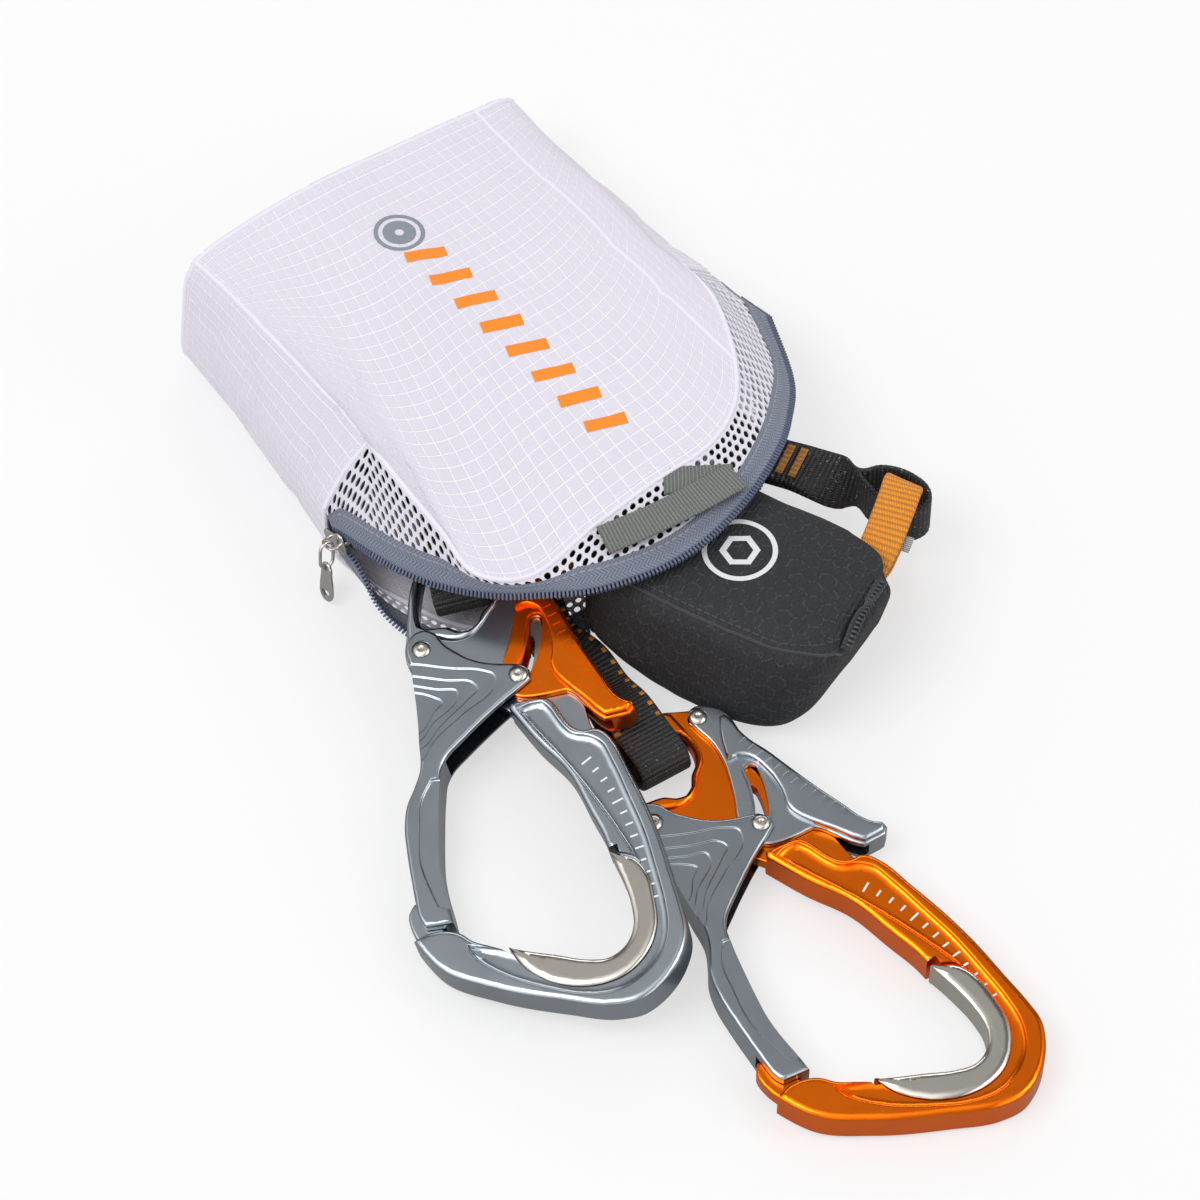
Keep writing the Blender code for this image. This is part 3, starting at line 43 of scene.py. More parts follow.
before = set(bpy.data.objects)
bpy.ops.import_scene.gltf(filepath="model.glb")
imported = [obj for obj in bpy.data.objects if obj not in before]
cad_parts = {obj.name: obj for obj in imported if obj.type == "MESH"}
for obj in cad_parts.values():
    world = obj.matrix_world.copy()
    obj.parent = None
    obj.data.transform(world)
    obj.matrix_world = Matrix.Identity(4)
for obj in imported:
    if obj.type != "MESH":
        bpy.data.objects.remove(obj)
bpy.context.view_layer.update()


def parts(whole, *rows):
    """A table whose numbers are parts of a whole."""
    return tuple(tuple(value / whole for value in row) for row in rows)


# Where the layout's middle goes, and the camera that sees it as the photograph does
SHIFT = Vector((0.001620, -0.010331, 0.0))
CAMERA_HEIGHT = math.radians(55.0)
CAMERA_DISTANCE = 1.6
CAMERA_AIM = SHIFT + Vector((0.0, 0.0, 0.020))
CAMERA_LENS = 165.6
# Directions of the sky, from -1 to 1, and how bright each is in gloss
DEPTH_BANDS = (
    (-1.0, 0.50), (-0.25, 0.85), (0.06, 0.78), (0.36, 0.36), (0.55, 0.26), (0.68, 0.07), (0.86, 0.10),
    (1.0, 0.35),
)
SIDE_BANDS = (
    (-1.0, 0.2), (-0.75, 0.9), (-0.6, 1.0), (-0.48, 0.35), (-0.32, 0.5), (0.05, 0.62), (0.22, 0.25),
    (0.42, 0.15), (0.55, 0.9), (0.72, 1.0), (0.85, 0.3), (1.0, 0.2),
)
BAND_LEVEL = 3.2
LAMPS = (
    ("softbox", (-0.9, -0.5, 1.6), (1.3, 1.0), 15.0),
    ("strip_right", (1.2, -0.2, 0.9), (0.35, 1.2), 4.5),
    ("strip_back", (0.1, 1.5, 0.9), (1.6, 0.35), 5.5),
)

# Air between pieces, how far a cutter runs past a face, and the turn from which an outline keeps a corner
GAP = 0.0003
OVERRUN = 0.002
CORNER_TURN = math.radians(38.0)
OUTLINE_STEP = 0.0014
CLOTH_STEP = 0.0040
PRINT_LIFT = 0.00012
STITCH_RADIUS = 0.00022
ABOVE_ALL = 0.3
SMOOTH_TURN = 60.0

# Carabiner
PIVOT_TO_HEEL = 0.100
HOOK_HALF = 0.0055
WEB_HALF = 0.0020
RING_HALF = 0.0032
NOSE_HALF = 0.0026
GROOVE_DEPTH = 0.0013
LEVER_CHANNEL_HALF = 0.0023
LEVER_HALF = 0.0039
RAIL_HALF = 0.0058
GATE_SLOT_HALF = 0.0042
GATE_HALF = 0.0058
GATE_STEP = 0.0003
CHEVRON_STEP = 0.00036
TIP_SLOT_HALF = 0.0030
INSERT_HALF = 0.0051
INSERT_PLATE = 0.0010
INSERT_WALL = 0.0015
PIN_RADIUS = 0.0015
PIN_BORE = PIN_RADIUS + GAP
EYE_ROUNDING = 0.0014
EYE_FLARE = ((-0.0014, -0.001), (-0.0014, 0.0), (-0.0009, 0.0004), (-0.0004, 0.0008))
INSERT_SEAT_ENDS = ((0.236, -0.974), (0.545, -0.700))
HEAD_RADIUS = 0.0026
HEAD_RISE = 0.0010
HEAD_SEAT = 0.0007
# The side of a dimpled head: shares of its radius, and how far below its top
DOME = (
    (0.0, 0.00035), (0.16, 0.00032), (0.26, 0.00008), (0.34, 0.0), (0.55, 0.00006), (0.75, 0.0002),
    (0.9, 0.00045), (1.0, 0.0008),
)
GUIDE_TURN = math.radians(24.0)
SPRING_WIRE = 0.0006
SPRING_POCKET = 0.0028
GATE_SPRING_RADIUS = 0.0030
LEVER_SPRING_RADIUS = 0.0024
# Pivot, turn about the vertical, rise across and rise along
GREY_PLACE = (-0.0505, -0.0162, 0.0133, 0.0, 0.180, 0.075)
ORANGE_PLACE = (0.0151, -0.0725, 0.0082, math.radians(22.2), 0.0, 0.020)

# Bag
BAG_SPAN = 0.100
BAG_ORIGIN_X = -0.0748
BAG_ORIGIN_Y = 0.1447
BAG_TURN = math.radians(-50.0)
CLOTH = 0.0009
WELT_RADIUS = 0.0006
BINDING_RADIUS = 0.0008
BAG_CROWN = 0.0035
BASE_BULGE = 0.0050
TAPE_WIDTH = 0.0070
TEETH_RADIUS = 0.0009
HANG_LOOP_WIDTH = 0.0100
HANG_LOOP_THICKNESS = 0.0010
HANG_LOOP_RIB = 0.0011
# The slanted bars: how many, from where to where along the bag, half a bar's lean and its two ends across
BAR_COUNT = 8
BAR_FIRST = 0.421
BAR_LAST = 1.254
BAR_LEAN = 0.024
BAR_ENDS = (-0.112, 0.004)
BAR_WIDTH = 0.0042
BAG_RING_PLACE = (0.303, -0.060, 0.0)

# Zip slider and its pull
SLIDER_LENGTH = 0.0090
SLIDER_WIDTH = 0.0080
SLIDER_PLATE = 0.0009
SLIDER_MOUTH = 0.0026
SLIDER_POST = 0.0014
SLIDER_TILT = math.radians(15.0)
SLIDER_SIDE = ((-1.0, 0.55), (-0.5, 0.62), (0.0, 0.72), (0.4, 1.0), (0.85, 0.9), (1.0, 0.4))
PULL_STEP = 0.0006
PULL_ROUNDING = 0.00035
TAB_SLOT_SIDE = ((-0.0016, 0.0008), (-0.0018, 0.0), (-0.0012, -0.0012))
BAIL_RISE = 0.0030
BAIL_SPAN_SHARE = 0.30
PULL_LIFT = math.radians(14.0)
PULL_WIRE = 0.0005
PULL_RING_LENGTH = 0.0085
PULL_RING_WIDTH = 0.0046
PULL_TAB_LENGTH = 0.0125
PULL_TAB_WIDTH = 0.0060
PULL_TAB_THICKNESS = 0.0010

# Webbing
WEBBING_WIDTH = 0.0160
WEBBING_THICKNESS = 0.0015
# Shares of its colour painted on black yarn: painted shade between its ribs and painted highlight on them
BLACK_RIB_SHADING = (0.3, 3.4)
ARM_RUNS = 6
ARM_RUN_PITCH = 0.0042
ARM_LOWEST = 0.0052
ARM_RUN_FAR = 0.016
ARM_A_RUN_NEAR = 0.074
ARM_B_RUN_NEAR = 0.085
ARM_A_SKEW = math.radians(9.0)
ARM_B_SKEW = math.radians(10.0)
EYE_TAIL = 0.0115
EYE_GAP = 0.0043
EYE_BAR_ALONG = 0.0313
EYE_ACROSS = 0.0087
EYE_BIGHT = 0.0215
EYE_JOIN = 0.0500

# Absorber pouch
POUCH_LENGTH = 0.0840
POUCH_DEPTH = 0.0570
POUCH_HEIGHT = 0.0375
POUCH_X = 0.0414
POUCH_Y = 0.0004
POUCH_TURN = math.radians(-29.0)
POUCH_WALL = 0.0014
POUCH_SQUARENESS = 6.0
POUCH_FRONT_LEAN = 0.0045
POUCH_END_SLANT = 0.0050
POUCH_END_LEAN = 0.0070
POUCH_COLUMN_POWER = 1.35
POUCH_LIP_RISE = 0.0036
POUCH_ARM_RISE = 0.0095
POUCH_LIP_FROM = -0.25
POUCH_LIP_SPAN = 0.35
POUCH_ZIP_OFF = 0.0008
POUCH_ZIP_WIDTH = 0.0050
# The place of the pouch's print in the layout plane, and the route of its lid's seam in its own frame
POUCH_RING_PLACE = (0.0402, 0.0042, 0.0)
HEXAGON_RADIUS = 0.0053
LID_ROUTE = parts(10000, (-385, -200), (-200, -215), (100, -215), (240, -200), (330, -155), (370, -90))
PACK_LAYERS = 6
PACK_LENGTH = 0.0460
PACK_SHIFT = -0.0060
PACK_WIDTH = 0.0300
PACK_PITCH = 0.0042

# Attachment loop, rest loop and label
ATTACHMENT_WIDTH = 0.0120
ATTACHMENT_THICKNESS = 0.0018
ATTACHMENT_RIB = 0.0019
TACK_THICKNESS = 0.0006
TACK_WIDTH = 0.0110
TACK_LENGTH = 0.0024
LABEL_WIDTH = 0.0090
LABEL_LENGTH = 0.0050
LABEL_THICKNESS = 0.0006
LABEL_OUT = 0.0040
LABEL_FROM = 3

HOOK_SHARES = parts(
    1000, (255, -220), (260, -203), (330, -195), (360, -195), (380, -210), (410, -260), (440, -300),
    (470, -315), (500, -310), (530, -325), (550, -350), (600, -460), (650, -580), (690, -700),
    (720, -820), (745, -920), (755, -990), (740, -1050), (700, -1120), (660, -1160), (620, -1185),
    (550, -1195), (400, -1165), (200, -1105), (50, -1030), (0, -970), (-20, -940), (5, -925), (110, -925),
    (150, -955), (200, -975), (238, -990), (245, -1004), (295, -1018), (376, -1038), (480, -1063),
    (536, -1062), (593, -1023), (621, -952), (618, -897), (587, -784), (556, -716), (535, -706),
    (528, -680), (480, -570), (420, -440), (330, -330),
)
HEAD_SHARES = parts(
    1000, (-55, 0), (-46, -32), (-20, -52), (10, -56), (40, -52), (100, -90), (170, -148), (240, -205),
    (290, -260), (360, -340), (460, -440), (520, -440), (540, -380), (515, -345), (485, -280),
    (465, -200), (403, -70), (372, 0), (338, 100), (310, 200), (308, 250), (300, 290), (285, 315),
    (260, 328), (220, 340), (170, 355), (80, 355), (20, 340), (-20, 305), (-35, 260), (-45, 220),
    (-50, 150), (-52, 80),
)
RING_SHARES = parts(
    1000, (-50, 80), (-46, 40), (20, 52), (100, 38), (140, 50), (170, 80), (195, 120), (218, 150),
    (226, 180), (226, 220), (216, 260), (206, 300), (195, 338), (168, 352), (80, 352), (22, 338),
    (-18, 303), (-33, 260), (-43, 220), (-48, 150),
)
EYE_SHARES = parts(
    1000, (-15, 120), (-10, 100), (10, 90), (40, 90), (70, 88), (100, 72), (130, 70), (155, 90),
    (170, 125), (195, 155), (205, 190), (203, 230), (190, 260), (160, 270), (20, 270), (-5, 255),
    (-13, 200),
)
NOSE_SHARES = parts(
    1000, (85, -930), (65, -900), (60, -860), (45, -820), (10, -805), (-25, -810), (-40, -840),
    (-35, -880), (-15, -925), (15, -965), (80, -965),
)
GROOVE_SHARES = parts(
    1000, (280, -230), (310, -215), (350, -210), (370, -230), (400, -280), (440, -325), (480, -335),
    (520, -360), (550, -420), (600, -550), (640, -660), (670, -780), (695, -900), (700, -970),
    (680, -1050), (630, -1110), (560, -1150), (480, -1155), (350, -1120), (220, -1060), (150, -1000),
    (135, -970), (250, -999), (330, -1042), (420, -1075), (560, -1075), (630, -990), (610, -740),
    (570, -660), (500, -540), (420, -420), (330, -300),
)
INSERT_OUTER_SHARES = parts(
    1000, (540, -715), (610, -740), (640, -780), (665, -880), (670, -950), (640, -1040), (580, -1100),
    (500, -1125), (420, -1120), (330, -1080), (290, -1045), (250, -985),
)
INSERT_INNER_SHARES = parts(
    1000, (300, -1000), (380, -1020), (480, -1045), (530, -1045), (580, -1010), (603, -950), (600, -900),
    (570, -790),
)
GATE_SHARES = parts(
    1000, (-48, 0), (-42, 35), (-20, 60), (10, 68), (40, 52), (65, 15), (100, -15), (150, -48),
    (200, -65), (250, -73), (290, -80), (315, -100), (318, -130), (290, -155), (240, -195), (180, -250),
    (120, -310), (75, -360), (60, -390), (53, -450), (50, -550), (50, -620), (53, -700), (65, -770),
    (83, -840), (95, -895), (15, -900), (0, -880), (-15, -820), (-25, -760), (-40, -660), (-48, -570),
    (-42, -510), (-20, -450), (-5, -400), (-8, -300), (-15, -200), (-23, -130), (-35, -50),
)
FORK_SHARES = parts(
    1000, (-80, 100), (350, 100), (350, -200), (100, -380), (30, -360), (10, -120), (-80, -80),
)
TIP_SLOT_SHARES = parts(1000, (-80, -790), (68, -790), (68, -930), (-80, -930))
CHEVRON_SHARES = (
    parts(
        1000, (-120, -60), (100, -75), (180, -90), (215, -110), (215, -140), (120, -230), (30, -320),
        (10, -360), (-120, -360),
    ),
    parts(
        1000, (-120, -100), (80, -110), (150, -125), (165, -145), (140, -175), (50, -265), (10, -320),
        (-120, -320),
    ),
    parts(1000, (-120, -125), (50, -135), (105, -150), (105, -165), (30, -250), (0, -295), (-120, -295)),
    parts(1000, (-120, -157), (40, -160), (60, -175), (40, -200), (-5, -270), (-120, -270)),
)
ARM_RECESS_SHARES = parts(
    1000, (30, -430), (0, -500), (-3, -580), (0, -700), (30, -790), (55, -850), (200, -850), (200, -430),
)
LEVER_SHARES = parts(
    1000, (235, 300), (240, 320), (265, 330), (290, 323), (310, 310), (330, 295), (345, 270), (350, 240),
    (355, 200), (370, 160), (400, 110), (440, 30), (490, -70), (530, -140), (570, -205), (590, -220),
    (610, -230), (615, -250), (600, -270), (530, -280), (510, -265), (470, -220), (440, -185),
    (420, -172), (380, -178), (320, -183), (280, -178), (250, -155), (232, -100), (235, -50), (250, 0),
    (260, 50), (268, 100), (270, 140), (268, 170), (260, 210), (240, 260),
)
RAIL_SHARES = parts(
    1000, (275, 112), (310, 120), (340, 105), (360, 70), (375, 20), (380, -50), (375, -85), (385, -115),
    (425, -165), (480, -220), (516, -260), (535, -274), (596, -264), (608, -248), (604, -236),
    (586, -228), (562, -205), (524, -138), (484, -68), (434, 30), (394, 110), (364, 160), (349, 200),
    (342, 240), (330, 264), (312, 262), (296, 220), (284, 165),
)
CHANNEL_SHARES = parts(
    1000, (150, 400), (295, 400), (316, 310), (322, 270), (328, 200), (366, 100), (406, 10), (458, -80),
    (500, -150), (536, -205), (548, -245), (548, -400), (150, -400),
)
STROKE_SHARES = parts(1000, (325, 190), (370, 100), (405, 20), (440, -50), (490, -130), (530, -190))
TICK_SHARES = parts(
    1000, (450, -380), (520, -470), (585, -600), (630, -740), (666, -880), (683, -980), (660, -1060),
    (610, -1110), (540, -1136), (450, -1132), (330, -1095), (240, -1050),
)
TICK_COUNT = 13
LEVER_SLOT_SHARES = parts(1000, (283.5, -113), (308, -66), (322, -17), (330, 30), (331, 70))
GUIDE_PIN_SHARES = (0.2835, -0.113)
LEVER_PIVOT_SHARES = (0.260, 0.293)
# The seam between panel and gusset, and the zip, from the slider over the top to the right-hand end
UPPER_SEAM_SHARES = parts(
    1000, (855, -790, 265), (845, -700, 360), (850, -615, 430), (1020, -635, 430), (1210, -645, 410),
    (1390, -650, 380), (1500, -560, 400), (1510, -330, 440), (1505, -100, 450), (1505, 130, 450),
    (1420, 300, 432), (1290, 410, 405), (1060, 530, 365), (880, 560, 330), (870, 660, 220),
)
UPPER_ZIP_SHARES = parts(
    1000, (890, -790, 203), (980, -790, 235), (1070, -790, 265), (1180, -775, 290), (1310, -730, 310),
    (1470, -640, 350), (1570, -550, 380), (1680, -420, 415), (1750, -190, 430), (1720, 70, 430),
    (1620, 300, 405), (1530, 415, 360), (1390, 545, 300), (1150, 670, 250), (1000, 690, 180),
)
LOWER_SEAM_SHARES = parts(
    1000, (855, -790, 115), (885, -788, 70), (980, -760, 25), (1100, -720, 0), (1260, -660, 0),
    (1380, -550, 0), (1420, -330, 0), (1430, -100, 0), (1420, 130, 0), (1360, 340, 0), (1220, 500, 0),
    (1040, 600, 20), (880, 660, 100),
)
LOWER_ZIP_SHARES = parts(
    1000, (890, -790, 177), (1000, -790, 135), (1110, -808, 80), (1210, -795, 42), (1340, -740, 22),
    (1480, -610, 18), (1550, -380, 16), (1570, -120, 16), (1540, 140, 16), (1470, 370, 18),
    (1340, 550, 24), (1160, 650, 70), (1000, 690, 140),
)
# The far seam, column for column with the two seams above
FAR_UPPER_SHARES = parts(
    1000, (0, -650, 240), (0, -630, 370), (0, -595, 430), (0, -520, 448), (0, -420, 452), (0, -300, 450),
    (0, -180, 440), (0, -50, 420), (0, 80, 390), (0, 220, 360), (0, 360, 330), (0, 480, 300),
    (0, 570, 280), (0, 620, 250), (0, 640, 180),
)
FAR_LOWER_SHARES = parts(
    1000, (0, -660, 160), (0, -665, 80), (0, -640, 20), (0, -540, 0), (0, -420, 0), (0, -260, 0),
    (0, -100, 0), (0, 80, 0), (0, 260, 0), (0, 440, 0), (0, 580, 0), (0, 660, 30), (0, 660, 100),
)
SLIDER_PLACE_SHARES = (0.925, -0.790, 0.190)
# The strand of the hang loop that lies under the other, from its fold back to the seam
HANG_BACK_TURNS = (0.0, -0.35, -0.5)
HANG_BACK_SHARES = parts(1000, (1640, 108, 446), (1590, 30, 452), (1520, -60, 450))
HANG_LOOP_SHARES = parts(
    1000, (1570, -330, 452), (1600, -230, 462), (1625, -110, 466), (1640, 10, 464), (1645, 110, 457),
)
# Routes of the arms between the folded runs and the carabiners, in the bag's frame
ARM_A_IN_SHARES = parts(1000, (1480, -170, 90), (1430, -185, 90), (1200, -300, 74), (950, -430, 55))
ARM_A_OUT_SHARES = parts(1000, (840, -450, 238))
ARM_B_IN_SHARES = parts(1000, (1480, -165, 150), (1430, -185, 150), (1250, -210, 140), (1000, -205, 70))
ARM_B_OUT_SHARES = parts(
    1000, (980, -215, 240), (1120, -290, 175), (1270, -380, 125), (1430, -465, 110), (1540, -500, 100),
)
ARM_A_LANE_SHARE = -0.460
ARM_B_LANE_SHARE = -0.200
ARMS = (
    ("a", GREY_PLACE, ARM_A_IN_SHARES, ARM_A_LANE_SHARE, ARM_A_RUN_NEAR, ARM_A_OUT_SHARES, ARM_A_SKEW),
    ("b", ORANGE_PLACE, ARM_B_IN_SHARES, ARM_B_LANE_SHARE, ARM_B_RUN_NEAR, ARM_B_OUT_SHARES, ARM_B_SKEW),
)
# Half the tab's width, and how far along it from its hole
TAB_SHARES = parts(
    1000, (-220, 100), (220, 100), (360, 0), (400, -200), (500, -550), (480, -780), (300, -900),
    (-300, -900), (-480, -780), (-500, -550), (-400, -200), (-360, 0),
)
# Routes of the loops at the pouch's right end, in metres in the layout plane, and the turn of the width
ATTACHMENT_ROUTE = parts(
    10000, (678, -50, 278), (720, -12, 292), (770, 35, 312), (808, 100, 330), (842, 190, 337),
    (868, 270, 335), (884, 330, 318), (890, 363, 270), (885, 370, 200), (876, 367, 135), (860, 345, 88),
    (833, 290, 75), (803, 205, 100), (775, 130, 150), (728, 44, 170), (698, -3, 175),
)
ATTACHMENT_DEGREES = (-45, -43, -38, -33, -30, -29, -29, -30, -30, -30, -30, -30, -30, -33, -42, -45)
REST_END_SHARES = parts(1000, (400, 320, 33), (700, 320, 33), (950, 325, 55), (1250, 345, 130))
REST_PAIR_ROUTE = parts(
    10000, (480, 530, 180), (590, 482, 190), (670, 445, 190), (715, 425, 190), (765, 410, 190),
)
REST_TURN_SHARES = (0.0, 0.0, 0.0, 0.0, 0.0, 0.0, 0.2, 0.62, 1.0)
REST_RING_ROUTE = parts(
    10000, (822, 432, 190), (872, 424, 190), (924, 395, 190), (958, 355, 190), (960, 310, 190),
    (925, 282, 190), (873, 288, 190), (822, 320, 190), (788, 362, 190),
)
# Where the bar tacks cross the rest loop, along the first step of its pair's route
TACK_SHARES = (0.28, 0.62, 0.96)
POUCH_ZIP_SHARES = parts(1000, (500, 950), (300, 930), (100, 900), (-100, 850), (-250, 760), (-360, 620))


def paint(red, green, blue):
    """A colour as the eye reads it, from 0 to 255, for a shader."""
    return tuple(
        ((v / 255 + 0.055) / 1.055) ** 2.4 if v > 10 else v / 255 / 12.92 for v in (red, green, blue)
    )


# Sizes and colours

def length_setting(name, description, default, low, high):
    """A size that a user may change."""
    return FloatProperty(name=name, description=description, default=default, min=low, max=high,
                         unit="LENGTH", precision=4)


def colour_setting(name, description, default):
    """A colour that a user may change."""
    return FloatVectorProperty(name=name, description=description, default=default, size=3,
                               subtype="COLOR")


class CarabinerLooks(bpy.types.PropertyGroup):
    edge: length_setting("Frame edge", "Rounding along the frames' edges", 0.0013, 0.0002, 0.0020)
    orange: colour_setting("Orange anodising", "Colour of frame B and lever A", paint(255, 120, 20))
    grey: colour_setting("Grey anodising", "Colour of frame A, lever B and both gates", paint(164, 171, 178))
    steel: colour_setting("Steel", "Colour of the wear inserts and rivets", paint(208, 203, 194))


class BagLooks(bpy.types.PropertyGroup):
    cell: length_setting("Ripstop cell", "Distance between the ripstop's heavy yarns", 0.0040, 0.002, 0.02)
    wrinkle: length_setting("Wrinkle depth", "How far the cloth sinks in its folds", 0.0026, 0.0, 0.008)
    mesh_pitch: length_setting("Mesh pitch", "Distance between the holes of the mesh", 0.0031, 0.002, 0.006)
    tooth_pitch: length_setting("Tooth pitch", "Distance between the zip's teeth", 0.0012, 0.001, 0.003)
    cloth: colour_setting("Cloth", "Colour of the ripstop", paint(227, 223, 236))
    tape: colour_setting("Tape", "Colour of the zip's tapes", paint(120, 126, 145))


class StrapLooks(bpy.types.PropertyGroup):
    rib: length_setting("Rib pitch", "Distance between the ribs across the webbing", 0.0014, 0.0008, 0.003)
    black: colour_setting("Black yarn", "Colour of the arms and the rest loop", paint(19, 19, 21))
    amber: colour_setting("Orange yarn", "Colour of the attachment loop and edge ticks", paint(245, 152, 28))


class PouchLooks(bpy.types.PropertyGroup):
    cell: length_setting("Hexagon", "Width of the hexagons in the pouch's cloth", 0.0050, 0.002, 0.02)
    cloth: colour_setting("Cloth", "Colour of the pouch", paint(28, 29, 32))


class StageLooks(bpy.types.PropertyGroup):
    sides: IntProperty(name="Floor corners", description="Corners of the round floor", default=96, min=12,
                       max=360)
    floor: colour_setting("Floor", "Colour of the floor", (0.86, 0.86, 0.87))
    level: FloatProperty(name="Light", description="Level of all lamps", default=1.0, min=0.1, max=4.0)


class LanyardLooks(bpy.types.PropertyGroup):
    carabiner: PointerProperty(name="Carabiners", description="Sizes and colours of both carabiners",
                               type=CarabinerLooks)
    bag: PointerProperty(name="Bag", description="Sizes and colours of the bag", type=BagLooks)
    strap: PointerProperty(name="Straps", description="Sizes and colours of the webbing", type=StrapLooks)
    pouch: PointerProperty(name="Pouch", description="Sizes and colours of the pouch", type=PouchLooks)
    stage: PointerProperty(name="Stage", description="Floor and light", type=StageLooks)


def looks():
    return bpy.context.scene.lanyard_looks


# Shader expressions

class Value:
    """A node's output that takes part in sums."""

    def __init__(self, nodes, socket):
        self.nodes = nodes
        self.socket = socket

    def __add__(self, other):
        return self.nodes.sum("ADD", self, other)

    def __radd__(self, other):
        return self.nodes.sum("ADD", other, self)

    def __sub__(self, other):
        return self.nodes.sum("SUBTRACT", self, other)

    def __rsub__(self, other):
        return self.nodes.sum("SUBTRACT", other, self)

    def __mul__(self, other):
        return self.nodes.sum("MULTIPLY", self, other)

    def __rmul__(self, other):
        return self.nodes.sum("MULTIPLY", other, self)

    def __truediv__(self, other):
        return self.nodes.sum("DIVIDE", self, other)


class Nodes:
    """The nodes of a material or of the sky."""

    def __init__(self, tree):
        self.tree = tree

    def node(self, kind, settings, inputs, output=0):
        made = self.tree.nodes.new("ShaderNode" + kind)
        for key, value in settings.items():
            setattr(made, key, value)
        for key, value in inputs.items():
            self.give(made.inputs[key], value)
        return Value(self, made.outputs[output])

    def give(self, socket, value):
        if isinstance(value, Value):
            self.tree.links.new(value.socket, socket)
        elif socket.type == "RGBA":
            socket.default_value = tuple(value)[:3] + (1.0,)
        else:
            socket.default_value = value

    def sum(self, operation, *values):
        return self.node("Math", {"operation": operation}, dict(enumerate(values)))

    def axes(self, source="UV"):
        """The three parts of the piece's spread in metres, or of other coordinates."""
        where = self.node("TexCoord", {}, {}, source)
        split = self.tree.nodes.new("ShaderNodeSeparateXYZ")
        self.give(split.inputs[0], where)
        return [Value(self, socket) for socket in split.outputs]

    def noise(self, scale, detail=2.0, stretch=(1.0, 1.0, 1.0), source="Object"):
        where = self.node("TexCoord", {}, {}, source)
        place = self.node("Mapping", {}, {"Vector": where, "Scale": stretch})
        return self.node("TexNoise", {}, {"Vector": place, "Scale": scale, "Detail": detail}, "Fac")

    def ramp(self, value, low, high, start=0.0, end=1.0):
        """A soft step from one value to another."""
        return self.node("MapRange", {"interpolation_type": "SMOOTHSTEP"}, {
            "Value": value, "From Min": low, "From Max": high, "To Min": start, "To Max": end,
        })

    def mix(self, factor, first, second):
        made = self.tree.nodes.new("ShaderNodeMix")
        made.data_type = "RGBA"
        self.give(made.inputs[0], factor)
        self.give(made.inputs[6], first)
        self.give(made.inputs[7], second)
        return Value(self, made.outputs[2])

    def wave(self, along, pitch):
        """Round ridges from 0 to 1 at a pitch in metres."""
        return self.sum("COSINE", along * (math.tau / pitch)) * 0.5 + 0.5

    def line(self, along, pitch, width, soft):
        """Lines of a width at a pitch, from 0 to 1."""
        off = self.sum("ABSOLUTE", self.sum("WRAP", along, pitch / 2, -pitch / 2))
        return self.ramp(off, width / 2 + soft, width / 2)


class Finish(Nodes):
    """A material and the nodes that give it its look."""

    def __init__(self, name, roughness, metallic=0.0, **constants):
        self.material = bpy.data.materials.new(name)
        self.material.use_nodes = True
        super().__init__(self.material.node_tree)
        self.shader = self.tree.nodes["Principled BSDF"]
        self.use(roughness=roughness, metallic=metallic, **constants)

    def use(self, **inputs):
        for socket, value in inputs.items():
            self.give(self.shader.inputs[socket.replace("_", " ").title()], value)

    def relief(self, height, distance, strength=1.0):
        bump = self.node("Bump", {}, {"Height": height, "Distance": distance, "Strength": strength})
        self.give(self.shader.inputs["Normal"], bump)
        return self.material


def shaded(colour, share):
    return tuple(v * share for v in tuple(colour)[:3])


# Finishes

def anodised(name, colour, roughness=0.24):
    """Tumbled and anodised aluminium: a faint mottle, fine grain and paler worn spots."""
    finish = Finish(name, roughness, 1.0)
    mottle = finish.noise(90.0, 3.0)
    grain = finish.noise(2600.0, 2.0)
    base = finish.mix(mottle, shaded(colour, 0.90), shaded(colour, 1.08))
    specks = finish.ramp(finish.noise(700.0, 3.0), 0.70, 0.78)
    pale = tuple(0.55 * v + 0.45 for v in tuple(colour)[:3])
    base = finish.mix(specks * 0.20, base, pale)
    finish.use(base_color=base, roughness=mottle * 0.08 + (roughness - 0.04))
    return finish.relief(grain, 0.000006, 0.3)


def steel(name, colour, roughness=0.16, brushed=0.00002):
    """Polished steel with fine scratches one way."""
    finish = Finish(name, roughness, 1.0)
    scratch = finish.noise(260.0, 4.0, (1.0, 14.0, 4.0))
    smear = finish.noise(60.0, 2.0)
    base = finish.mix(smear, shaded(colour, 0.90), colour)
    finish.use(base_color=base, roughness=scratch * 0.14 + (roughness - 0.05))
    return finish.relief(scratch, brushed, 0.6)


def ripstop(name, cloth, cell):
    """Thin ripstop: a plain weave with a grid of heavy yarns and a soft sheen."""
    finish = Finish(name, 0.62, sheen_weight=0.25, sheen_roughness=0.4)
    u, v, _ = finish.axes()
    grid = finish.sum("MAXIMUM", *(finish.line(axis, cell, 0.00022, 0.00016) for axis in (u, v)))
    weave = finish.wave(u, 0.00062) + finish.wave(v, 0.00062)
    cloud = finish.noise(14.0, 3.0)
    ground = finish.mix(cloud * 0.8 + weave * 0.1, shaded(cloth, 0.86), shaded(cloth, 1.00))
    pink = finish.ramp(finish.noise(6.0, 1.0), 0.48, 0.72)
    ground = finish.mix(pink * 0.35, ground, (cloth[0] * 1.03, cloth[1] * 0.95, cloth[2] * 0.98))
    heavy = tuple(min(0.98, c * 1.28) for c in tuple(cloth)[:3])
    finish.use(base_color=finish.mix(grid * 0.80, ground, heavy))
    return finish.relief(weave * 0.16 + grid * 0.9 + finish.noise(260.0, 3.0) * 0.5, 0.00022, 0.7)


